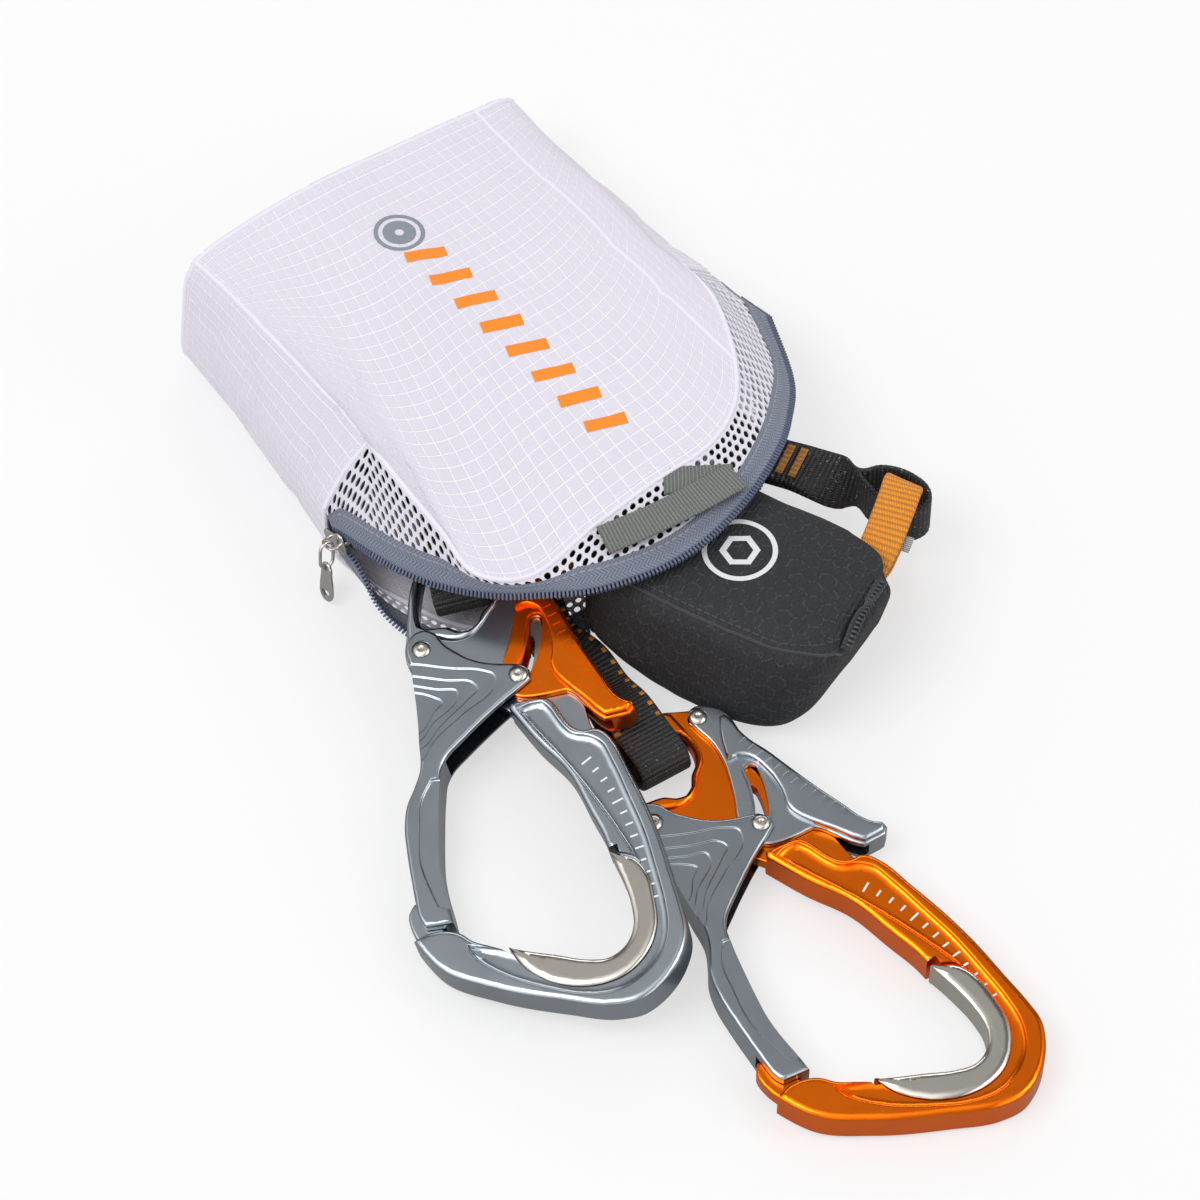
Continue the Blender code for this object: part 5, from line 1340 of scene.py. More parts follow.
def copied(source, name, matrix):
    mesh = source.data.copy()
    mesh.transform(matrix)
    return linked(name, mesh)


# Bag

def bag_point(share):
    """A point of the bag's tables in the layout plane."""
    l, w, z = (value * BAG_SPAN for value in share)
    c, s = math.cos(BAG_TURN), math.sin(BAG_TURN)
    return Vector((BAG_ORIGIN_X + l * c - w * s, BAG_ORIGIN_Y + l * s + w * c, z))


def bag_direction(l, w, z=0.0):
    c, s = math.cos(BAG_TURN), math.sin(BAG_TURN)
    return Vector((l * c - w * s, l * s + w * c, z)).normalized()


def bag_lines(far_shares, seam_shares, zip_shares, step):
    """The far seam, the seam and the zip of one half of the bag, smoothed together column for column."""
    columns = [
        np.concatenate([np.array(bag_point(p)) for p in column])
        for column in zip(far_shares, seam_shares, zip_shares)
    ]
    rows = smooth(columns, step, closed=False)
    return [[Vector((row[k], row[k + 1], max(row[k + 2], CLOTH / 2))) for row in rows] for k in (0, 3, 6)]


def both_halves(step):
    return [bag_lines(FAR_UPPER_SHARES, UPPER_SEAM_SHARES, UPPER_ZIP_SHARES, step),
            bag_lines(FAR_LOWER_SHARES, LOWER_SEAM_SHARES, LOWER_ZIP_SHARES, step)]


def slant(line, i, ahead):
    """How much longer a step is along a direction than straight away from a line."""
    tangent = (line[min(i + 1, len(line) - 1)] - line[max(i - 1, 0)]).normalized()
    return 1.0 / math.sqrt(max(0.2, 1.0 - tangent.dot(ahead) ** 2))


def bag_rows(stations, step, depth):
    """Rings of the bag's cloth from the far seam to the mouth's seam, with its folds."""
    halves = both_halves(step)
    far = halves[0][0] + halves[1][0][::-1]
    seam = halves[0][1] + halves[1][1][::-1]
    top = len(halves[0][0])
    middle_far = sum(far, Vector()) / len(far)
    middle_seam = sum(seam, Vector()) / len(seam)
    rows = []
    for i in range(stations):
        t = i / (stations - 1)
        row = [a.lerp(b, t) for a, b in zip(far, seam)]
        middle = middle_far.lerp(middle_seam, t)
        for j in range(top):
            row[j].z += BAG_CROWN * math.sin(math.pi * t) * math.sin(math.pi * j / (top - 1))
        hold = min(1.0, 6.0 * min(t, 1.0 - t))
        for point in row:
            point += (middle - point).normalized() * depth * hold * folds(point)
            point.z = max(point.z, CLOTH / 2)
        rows.append(row)
    return rows


def folds(point):
    """How deep the cloth sinks at a point: broad dents and a few sharper creases."""
    broad = noise.noise(point * 22.0) * 0.5 + 0.5
    lean = Vector((point.x * 26.0 + point.y * 9.0, point.y * 30.0 - point.x * 12.0, point.z * 30.0))
    crease = 1.0 - abs(noise.noise(lean + Vector((7.3, 1.9, 4.4)))) * 2.4
    fine = noise.noise(point * 95.0)
    return broad * 0.55 + max(0.0, crease) ** 3 * 0.35 + fine * 0.07


def lace(name, rows, pitch, thickness):
    """Mesh cloth with a net of round holes between two edges, given as rows of points across."""
    grid = np.array([[tuple(p) for p in row] for row in rows])
    middle = grid[len(grid) // 2]
    run = np.concatenate(([0.0], np.cumsum(np.linalg.norm(np.diff(middle, axis=0), axis=1))))
    width = np.linalg.norm(np.diff(grid, axis=0), axis=2).sum(axis=0)
    wide = float(width.max())
    side = pitch / math.sqrt(3.0)
    places, faces, found = [], [], {}

    def surface(s, y):
        s = min(max(s, 0.0), float(run[-1]))
        reach = float(np.interp(s, run, width))
        t = min(max(y / reach, 0.0), 1.0) * (len(grid) - 1)
        low = min(int(t), len(grid) - 2)
        ends = [[float(np.interp(s, run, grid[k][:, axis])) for axis in range(3)] for k in (low, low + 1)]
        return Vector(ends[0]).lerp(Vector(ends[1]), t - low)

    def corner(s, y):
        key = (round(s / pitch * 200), round(y / pitch * 200))
        if key not in found:
            found[key] = len(places)
            places.append((s, y))
        return found[key]

    row, y = 0, 0.0
    while y < wide + side:
        s = pitch / 2 * (row % 2)
        while s < run[-1] + pitch / 2:
            reach = float(np.interp(s, run, width))
            if y < reach + side * 0.6:
                outer, inner = [], []
                for k in range(12):
                    a = math.tau * k / 12 + math.pi / 6
                    r = side if k % 2 == 0 else side * math.cos(math.pi / 6)
                    outer.append(corner(s + r * math.cos(a), y + r * math.sin(a)))
                    inner.append(len(places))
                    places.append((s + pitch * 0.345 * math.cos(a), y + pitch * 0.335 * math.sin(a)))
                for k in range(12):
                    after = (k + 1) % 12
                    faces.append((outer[k], outer[after], inner[after], inner[k]))
            s += pitch
        row += 1
        y += side * 1.5
    made = draw(name, [surface(*p) for p in places], faces, places)
    clean(made, GAP / 2)
    edited(made, lambda: bpy.ops.mesh.dissolve_degenerate(threshold=GAP / 2))
    thicken(made, thickness)
    return made


def teeth(name, line, pitch, inside):
    """A row of zip teeth: one tooth copied along the line."""
    tooth = block("tooth", (pitch * 0.62, 0.0021, 0.0017), (0.0, 0.0, 0.0), 0.0003, 2)
    corners = [v.co.copy() for v in tooth.data.vertices]
    shapes = [tuple(p.vertices) for p in tooth.data.polygons]
    bpy.data.objects.remove(tooth)
    points, faces = [], []
    marks = spaced([tuple(p) for p in line], pitch)
    for before, here, after in zip(marks, marks[1:], marks[2:]):
        ahead = Vector(after - before).normalized()
        side = inside(Vector(here))
        side = (side - ahead * side.dot(ahead)).normalized()
        turn = Matrix((ahead, side, ahead.cross(side))).transposed()
        base = len(points)
        points += [turn @ c + Vector(here) for c in corners]
        faces += [tuple(base + v for v in shape) for shape in shapes]
    made = draw(name, points, faces)
    shade(made, 40.0)
    return made


def stitched(name, ring, lift, pitch, length):
    """A row of stitches that follows a line on a shell."""
    marks = spaced([tuple(p) for p in ring], pitch)
    centre = Vector(np.mean([tuple(p) for p in ring], axis=0))
    stitches = []
    for before, here, after in zip(marks, marks[1:], marks[2:]):
        ahead = Vector(after - before).normalized()
        out = Vector(here) - centre
        out = (out - ahead * out.dot(ahead)).normalized()
        place = Vector(here) + out * lift
        place.z = max(place.z, 0.0004)
        ends = [place - ahead * length / 2, place, place + ahead * length / 2]
        stitches.append(wire("stitch", ends, STITCH_RADIUS, sides=6))
    return joined(name, stitches)


def below(made):
    """A tree that finds a piece from above."""
    return BVHTree.FromObject(made, bpy.context.evaluated_depsgraph_get())


def found_below(tree, x, y):
    """The place and the normal of the first face below a point, or nothing."""
    return tree.ray_cast(Vector((x, y, ABOVE_ALL)), Vector((0.0, 0.0, -1.0)))[:2]


def on_lid(tree, x, y):
    """The place on the pouch over a point of its own frame, drawn in from the rim where it would miss."""
    for share in np.linspace(1.0, 0.8, 21):
        over = pouch_point(x * share, y * share, 0.0) + SHIFT
        place, _ = found_below(tree, over.x, over.y)
        if place is not None and place.z > POUCH_HEIGHT * 0.6:
            return place + Vector((0.0, 0.0, 0.0001))
    raise RuntimeError(f"no lid at {x:.4f}, {y:.4f}")


def decal(name, rows, tree):
    """A printed patch laid on a piece: rows of places in its plane."""
    points = []
    for row in rows:
        for x, y in row:
            place, normal = found_below(tree, x, y)
            if place is None:
                raise RuntimeError(f"nothing below {x:.4f}, {y:.4f}")
            points.append(place + normal * PRINT_LIFT)
    return draw(name, points, quads(len(rows), len(rows[0]), closed=False))


def bar_rows(start, end, width, cuts=8):
    """The rows of a bar between two places."""
    start, end = np.array(start), np.array(end)
    ahead = (end - start) / np.linalg.norm(end - start)
    side = np.array((-ahead[1], ahead[0])) * width / 2
    middles = [start + (end - start) * k / cuts for k in range(cuts + 1)]
    return [[tuple(middle + side * s) for s in (1.0, 0.0, -1.0)] for middle in middles]


def ring_rows(centre, inner, outer, cuts=60):
    """The rows of a ring round a centre."""
    rows = []
    for k in range(cuts + 1):
        a = math.tau * k / cuts
        rows.append([(centre[0] + r * math.cos(a), centre[1] + r * math.sin(a))
                     for r in (inner, (inner + outer) / 2, outer)])
    return rows


# Straps

def folded(near, far, runs, pitch, lowest, cuts):
    """Places along and up of webbing folded to and fro, with each run in some cuts."""
    result = []
    for run in range(runs):
        height = lowest + run * pitch
        start, end = (far, near) if run % 2 else (near, far)
        result += [(start + (end - start) * k / cuts, height) for k in range(cuts + 1)]
        if run < runs - 1:
            for angle in (-math.pi / 4, 0.0, math.pi / 4):
                reach = math.copysign(math.cos(angle) * pitch / 2, end - start)
                result.append((end + reach, height + pitch / 2 * (1 + math.sin(angle))))
    return result


def arm_stations(carabiner, shares_in, lane, near, shares_out, skew):
    """Stations of one arm: out of the pouch, folded in the bag, and round the eye of its carabiner."""
    across = bag_direction(0.0, 1.0)
    inward = [bag_point(p) for p in shares_in]
    first = (near, lane * BAG_SPAN, ARM_LOWEST)
    ahead = bag_direction(0.92, -0.38)
    side = Vector((-ahead.y, ahead.x, 0.0))
    spread = [side] * (len(inward) - 1) + [across] * 2
    stations = along(inward + [bag_point([v / BAG_SPAN for v in first])], spread, WEBBING_WIDTH)
    for place, height in folded(near, ARM_RUN_FAR, ARM_RUNS, ARM_RUN_PITCH, ARM_LOWEST, 3)[1:]:
        stations.append((bag_point((place / BAG_SPAN, lane, height / BAG_SPAN)), across))
    turned_across = Vector((math.cos(skew), math.sin(skew), 0.0))
    upward = Vector((-math.sin(skew), math.cos(skew), 0.0))
    bar = Vector((EYE_ACROSS, EYE_BAR_ALONG, 0.0))
    eye_across = (carabiner.to_3x3() @ turned_across).normalized()
    layer = EYE_GAP + WEBBING_THICKNESS / 2
    laid = WEBBING_THICKNESS / 2 + GAP
    low = EYE_BIGHT - EYE_BAR_ALONG
    join = EYE_JOIN - EYE_BAR_ALONG
    loop = [(join, laid), (join * 0.45, layer), (low / 2, layer)]
    for a in np.linspace(math.pi / 2, -math.pi / 2, 9):
        loop.append((low - layer * math.cos(a), layer * math.sin(a)))
    loop += [(low / 2, -layer), (join * 0.45, -layer), (join, -laid), (join + EYE_TAIL, -laid)]
    eye = [(carabiner @ (bar + upward * s + Vector((0.0, 0.0, z))), eye_across) for s, z in loop]
    lead = carabiner @ (bar + upward * (join + EYE_TAIL) + Vector((0.0, 0.0, laid)))
    last = stations.pop()
    route = [last[0]] + [bag_point(p) for p in shares_out] + [lead, eye[0][0]]
    spread = [across] * (1 + len(shares_out)) + [eye_across] * 2
    return stations + along(route, spread, WEBBING_WIDTH)[:-1] + eye


# Pouch

def pouch_point(x, y, z):
    """A point of the pouch's own frame, from its middle, in the layout plane."""
    c, s = math.cos(POUCH_TURN), math.sin(POUCH_TURN)
    height = POUCH_HEIGHT / 2 + POUCH_WALL / 2 + GAP + z
    return Vector((POUCH_X + x * c - y * s, POUCH_Y + x * s + y * c, height))


def pouch_surface(x, y, z, off=0.0):
    """The point of the crowned cover that lies over a point of a cube of two units."""
    scale = sum(abs(v) ** POUCH_SQUARENESS for v in (x, y, z)) ** (-1 / POUCH_SQUARENESS)
    x, y, z = x * scale, y * scale, z * scale
    lean = POUCH_FRONT_LEAN * z * (1 - y) / 2
    end = (POUCH_END_SLANT * (y - 1) + POUCH_END_LEAN * (z - 1)) / 2 * (1 + x) / 2
    lifted = min(1.0, max(0.0, (POUCH_LIP_FROM - x) / POUCH_LIP_SPAN)) * max(0.0, -z)
    rise = lifted * (POUCH_LIP_RISE + POUCH_ARM_RISE * max(0.0, -y))
    return pouch_point(x * (POUCH_LENGTH / 2 + off) + end, y * (POUCH_DEPTH / 2 + off) + lean,
                       z * (POUCH_HEIGHT / 2 + off) + rise)


def pouch_shell():
    """The pouch's cover: a cage with its openings, crowned, subdivided, dented and given its wall."""
    cage = bmesh.new()
    bmesh.ops.create_cube(cage, size=2.0)
    bmesh.ops.subdivide_edges(cage, edges=cage.edges, cuts=4, use_grid_fill=True)
    open_faces = []
    for face in cage.faces:
        x, y, z = face.calc_center_median()
        arms = x < -0.9 and abs(y) < 0.45 and -0.9 < z < 0.1
        loops = (x > 0.9 and y > 0.7 or y > 0.9 and x > 0.7) and -0.7 < z
        if arms or loops:
            open_faces.append(face)
    bmesh.ops.delete(cage, geom=open_faces, context="FACES")
    for vertex in cage.verts:
        x, y, z = vertex.co
        vertex.co = pouch_surface(math.copysign(abs(x) ** POUCH_COLUMN_POWER, x), y, z)
    mesh = bpy.data.meshes.new("pouch")
    cage.to_mesh(mesh)
    cage.free()
    made = linked("pouch", mesh)
    modified(made, "SUBSURF", levels=4, render_levels=4)
    middle = pouch_point(0.0, 0.0, 0.0)
    for vertex in made.data.vertices:
        point = vertex.co
        dent = noise.noise(point * 55.0) * 0.0007 + noise.noise(point * 150.0) * 0.00022
        vertex.co = point + (middle - point).normalized() * (dent + 0.0002)
    layer = made.data.uv_layers.new(name="spread")
    inverse = Matrix.Rotation(-POUCH_TURN, 3, "Z")
    for face in made.data.polygons:
        normal = inverse @ face.normal
        axis = max(range(3), key=lambda k: abs(normal[k]))
        for loop in face.loop_indices:
            place = inverse @ made.data.vertices[made.data.loops[loop].vertex_index].co
            layer.data[loop].uv = [place[k] for k in range(3) if k != axis]
    thicken(made, POUCH_WALL)
    return made


def strap_rest():
    """Stations of the rest loop: two layers laid together that part into a ring."""
    pair = [bag_point(p) for p in REST_END_SHARES] + [Vector(p) for p in REST_PAIR_ROUTE]
    offset = WEBBING_THICKNESS / 2 + GAP
    upper, lower = [], []
    for i, (here, turn) in enumerate(zip(pair, REST_TURN_SHARES)):
        tangent = (pair[min(i + 1, len(pair) - 1)] - pair[max(i - 1, 0)]).normalized()
        side = Vector((-tangent.y, tangent.x, 0.0)).normalized()
        rise = tangent.cross(side)
        angle = -turn * math.pi / 2
        across = side * math.cos(angle) - rise * math.sin(angle)
        normal = rise * math.cos(angle) + side * math.sin(angle)
        upper.append((here + normal * offset, across))
        lower.append((here - normal * offset, across))
    ring = [(Vector(p), upper[-1][1]) for p in REST_RING_ROUTE[::-1]]
    every = upper + ring + lower[::-1]
    return along([c for c, a in every], [a for c, a in every], 0.0050)


# Operators

def banded(sky, axis, stops):
    """A level that follows stops along one axis of the direction, from -1 to 1."""
    ramp = sky.node("ValToRGB", {}, {0: axis * 0.5 + 0.5})
    elements = ramp.socket.node.color_ramp.elements
    for place, _ in stops[1:-1]:
        elements.new((place + 1) / 2)
    for stop, (_, level) in zip(elements, stops):
        stop.color = (level, level, level, 1.0)
    return ramp


class Stage(bpy.types.Operator):
    """Make the floor, the lamps and the camera"""
    bl_idname = "lanyard.stage"
    bl_label = "Stage"

    def execute(self, context):
        chosen = looks().stage
        bpy.ops.mesh.primitive_circle_add(vertices=chosen.sides, radius=4.0, fill_type="NGON")
        floor = bpy.context.object
        floor.name = "floor"
        finish = Finish("floor_paper", 0.9)
        grain = finish.noise(40.0, 2.0)
        finish.use(base_color=finish.mix(grain, shaded(chosen.floor, 0.995), chosen.floor))
        # Seen by the camera and in gloss, the paper is nearly white and keeps the shadow
        rays = [finish.node("LightPath", {}, {}, f"Is {kind} Ray") for kind in ("Camera", "Glossy")]
        seen, mirrored_ray = rays
        strength = 1.0 - mirrored_ray * 0.75
        white = finish.node("Emission", {}, {"Color": (1.0, 1.0, 1.0), "Strength": strength})
        own = Value(finish, finish.shader.outputs[0])
        both = finish.node("MixShader", {}, {0: seen * 0.60 + mirrored_ray * 0.70, 1: own, 2: white})
        finish.give(finish.tree.nodes["Material Output"].inputs[0], both)
        floor.data.materials.append(finish.material)

        world = bpy.data.worlds.new("studio")
        context.scene.world = world
        world.use_nodes = True
        sky = Nodes(world.node_tree)
        background = sky.tree.nodes["Background"]
        x, y, z = sky.axes("Generated")
        even = sky.node("MapRange", {}, {"Value": z, "From Min": -0.1, "From Max": 0.9, "To Min": 0.50,
                                         "To Max": 0.62})
        sky.give(background.inputs["Color"], (1.0, 1.0, 1.0))
        # In gloss, bands of light and dark take the place of the even light
        bands = banded(sky, y, DEPTH_BANDS) * banded(sky, x, SIDE_BANDS) * BAND_LEVEL
        gloss = sky.node("LightPath", {}, {}, "Is Glossy Ray")
        sky.give(background.inputs["Strength"], even + gloss * (bands - even))
        world.cycles.sampling_method = "NONE"

        middle = Vector((0.0, 0.0, 0.02))
        for name, place, size, power in LAMPS:
            lamp = bpy.data.lights.new(name, "AREA")
            lamp.shape = "RECTANGLE"
            lamp.size, lamp.size_y = size
            lamp.energy = power * chosen.level
            item = linked(name, lamp)
            item.location = place
            item.rotation_euler = (middle - Vector(place)).to_track_quat("-Z", "Y").to_euler()

        camera = bpy.data.cameras.new("camera")
        camera.lens = CAMERA_LENS
        camera.sensor_width = 36.0
        camera.clip_end = 20.0
        item = linked("camera", camera)
        back = Vector((0.0, -math.cos(CAMERA_HEIGHT), math.sin(CAMERA_HEIGHT))) * CAMERA_DISTANCE
        item.location = CAMERA_AIM + back
        item.rotation_euler = (math.pi / 2 - CAMERA_HEIGHT, 0.0, 0.0)
        context.scene.camera = item
        context.scene.view_settings.view_transform = "Standard"
        return {"FINISHED"}


class Carabiners(bpy.types.Operator):
    """Make one carabiner and copy it to both places"""
    bl_idname = "lanyard.carabiners"
    bl_label = "Carabiners"

    def execute(self, context):
        chosen = looks().carabiner
        grey = anodised("grey_anodised", chosen.grey)
        orange = anodised("orange_anodised", chosen.orange)
        smoke = anodised("smoke_anodised", shaded(chosen.grey, 0.92))
        polish = steel("polished_insert", chosen.steel)
        domes = steel("satin_steel", shaded(chosen.steel, 0.95), 0.24)
        print_ink = ink("tick_ink", paint(236, 238, 240))
        pieces = carabiner_pieces(chosen.edge)
        moving = {"gate": "gate", "guide_pin": "gate", "lever": "lever"}
        for letter, place in (("a", GREY_PLACE), ("b", ORANGE_PLACE)):
            matrix = Matrix.Translation(SHIFT) @ placed(*place)
            coats = {"frame": (grey, "grey_anodised") if letter == "a" else (orange, "orange_anodised"),
                     "lever": (orange, "orange_anodised") if letter == "a" else (grey, "grey_anodised"),
                     "gate": (smoke, "grey_anodised"), "steel_insert": (polish, "satin_steel"),
                     "ticks": (print_ink, "satin_steel")}
            for name, source in pieces.items():
                finish, kind = coats.get(name, (domes, "satin_steel"))
                made = copied(source, f"{name}_{letter}_looks", matrix)
                nodes = () if name == "ticks" else (f"{name}_{letter}",)
                dress(made, finish, f"{moving.get(name, 'carabiner')}_{letter}", nodes, move=False)
        for source in pieces.values():
            bpy.data.objects.remove(source)
        return {"FINISHED"}


class Springs(bpy.types.Operator):
    """Finish the springs, whose shape is kept"""
    bl_idname = "lanyard.springs"
    bl_label = "Springs"

    def execute(self, context):
        finish = steel("spring_wire", shaded(looks().carabiner.steel, 0.8), 0.3)
        for name in ("gate_spring_a", "lever_spring_a", "gate_spring_b", "lever_spring_b"):
            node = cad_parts[name]
            node.data.materials.clear()
            node.data.materials.append(finish)
        return {"FINISHED"}


class Bag(bpy.types.Operator):
    """Make the bag's cloth, its far panel, welts, hem, hang loop and plain prints"""
    bl_idname = "lanyard.bag"
    bl_label = "Bag"

    def execute(self, context):
        chosen = looks().bag
        cloth_finish = ripstop("white_ripstop", chosen.cloth, chosen.cell)
        thread = satin_thread("seam_thread", paint(224, 221, 232))
        rows = bag_rows(44, CLOTH_STEP, chosen.wrinkle)
        body = cloth("bag_cloth", [row + [row[0]] for row in rows], CLOTH)
        sewn(body, cloth_finish, "white_ripstop", "bag_body")

        far = rows[0]
        outward = bag_direction(-1.0, 0.0)
        middle = sum(far, Vector()) / len(far)
        rings = []
        for share in np.linspace(1.0, 0.04, 14):
            bulge = CLOTH / 2 + GAP + BASE_BULGE * (1.0 - share**2)
            ring = [middle.lerp(p, share) + outward * bulge for p in far]
            for point in ring:
                point += outward * noise.noise(point * 60.0) * 0.0012 * (1.0 - share**4)
                point.z = max(point.z, CLOTH / 2)
            rings.append(ring + [ring[0]])
        panel = cloth("far_panel_cloth", rings, CLOTH, capped=True)
        sideways = bag_direction(0.0, 1.0)
        for corner in panel.data.loops:
            here = panel.data.vertices[corner.vertex_index].co
            panel.data.uv_layers.active.data[corner.index].uv = (here.dot(sideways), here.z)
        sewn(panel, cloth_finish, "white_ripstop", "bag_far_panel")

        # Welts along the panel's joins, a hem at the far edge and a binding at the mouth
        halves = both_halves(CLOTH_STEP)
        far_line = halves[0][0] + halves[1][0][::-1]
        for number, share in enumerate((FAR_UPPER_SHARES[2], FAR_UPPER_SHARES[11])):
            mark = bag_point(share)
            column = min(range(len(far_line)), key=lambda k: (far_line[k] - mark).length)
            line = [row[column] + Vector((0.0, 0.0, 0.0003)) for row in rows]
            sewn(wire(f"welt_{number + 1}", line, WELT_RADIUS), thread, "white_ripstop")
        for name, row in (("far_binding", rows[0]), ("mouth_binding", rows[-1])):
            ring = [Vector((p.x, p.y, max(p.z, BINDING_RADIUS))) for p in row]
            sewn(wire(name, ring, BINDING_RADIUS, closed=True), thread, "white_ripstop")
        for name, t in (("far_stitches", 1), ("mouth_stitches", len(rows) - 2)):
            dashes = stitched(name, rows[t], CLOTH / 2, 0.0026, 0.0017)
            sewn(dashes, thread, "white_ripstop")

        # Hang loop
        across = bag_direction(1.0, 0.0)
        strands = []
        for name, shares, turns in (
            ("hang_ribbon", HANG_LOOP_SHARES, [0.0] * len(HANG_LOOP_SHARES)),
            ("hang_back", HANG_BACK_SHARES, HANG_BACK_TURNS),
        ):
            lean = [across * math.cos(a) + bag_direction(0.0, 1.0) * math.sin(a) for a in turns]
            stations = along([bag_point(p) for p in shares], lean, 0.004)
            strands.append(band(name, stations, HANG_LOOP_WIDTH, HANG_LOOP_THICKNESS, HANG_LOOP_RIB, 0.12))
        ribbon = webbing("hang_ribbon", paint(132, 137, 132), HANG_LOOP_RIB, 0.013)
        sewn(joined("hang_ribbon", strands), ribbon, "hang_ribbon", "hang_loop")

        # Plain prints: slanted bars and a ring
        tree = below(body)
        amber = ink("orange_ink", paint(250, 138, 18))
        dark = ink("grey_ink", paint(134, 140, 148))
        bars = []
        for k in range(BAR_COUNT):
            share = BAR_FIRST + (BAR_LAST - BAR_FIRST) * k / (BAR_COUNT - 1)
            low = bag_point((share - BAR_LEAN, BAR_ENDS[0], 0.0)) + SHIFT
            high = bag_point((share + BAR_LEAN, BAR_ENDS[1], 0.0)) + SHIFT
            bars.append(decal("bar", bar_rows(low[:2], high[:2], BAR_WIDTH), tree))
        sewn(joined("bag_bars", bars), amber, "white_ripstop", move=False)
        centre = (bag_point(BAG_RING_PLACE) + SHIFT)[:2]
        rings = [decal("ring", ring_rows(centre, 0.0064, 0.0077), tree),
                 decal("dot", ring_rows(centre, 0.0014, 0.0050), tree)]
        sewn(joined("bag_ring", rings), dark, "white_ripstop", move=False)
        return {"FINISHED"}


class Mouth(bpy.types.Operator):
    """Make the mesh gussets of the bag's mouth with their holes"""
    bl_idname = "lanyard.mouth"
    bl_label = "Mesh mouth"

    def execute(self, context):
        chosen = looks().bag
        finish = knit("white_mesh", paint(226, 224, 234))
        woven = tape("zip_tape", chosen.tape)
        coil = nylon("zip_coil", paint(92, 101, 124))
        for side, (_, seam_line, zip_line) in zip(("upper", "lower"), both_halves(CLOTH_STEP)):
            near, half, last, inner_edge, outer_edge = [], [], [], [], []
            for i, (a, b) in enumerate(zip(seam_line, zip_line)):
                reach = (b - a).length
                ahead = (b - a) / reach
                zip_off = (TEETH_RADIUS + GAP) * slant(zip_line, i, ahead)
                width = min(TAPE_WIDTH, reach * 0.45)
                inner = b - ahead * (width + zip_off)
                near.append(a)
                half.append((a + inner) / 2)
                last.append(inner + ahead * 0.0006)
                inner_edge.append(inner)
                outer_edge.append(b - ahead * (zip_off - 0.0005))
            made = lace(f"mesh_{side}", [near, half, last], chosen.mesh_pitch, 0.00055)
            sewn(made, finish, "white_mesh", f"bag_mesh_{side}")
            rows = []
            for t in np.linspace(0.0, 1.0, 6):
                rows.append([a.lerp(b, t) for a, b in zip(inner_edge, outer_edge)])
            strip = cloth(f"tape_{side}", [list(row) for row in zip(*rows)], 0.0008)
            sewn(strip, woven, "zip_tape", f"zip_tape_{side}")

            def inside(point, line=seam_line):
                nearest = min(line, key=lambda p: (p - point).length_squared)
                return nearest - point
            row = teeth(f"teeth_{side}", zip_line, chosen.tooth_pitch, inside)
            sewn(row, coil, "zip_coil", f"zip_teeth_{side}")
        return {"FINISHED"}


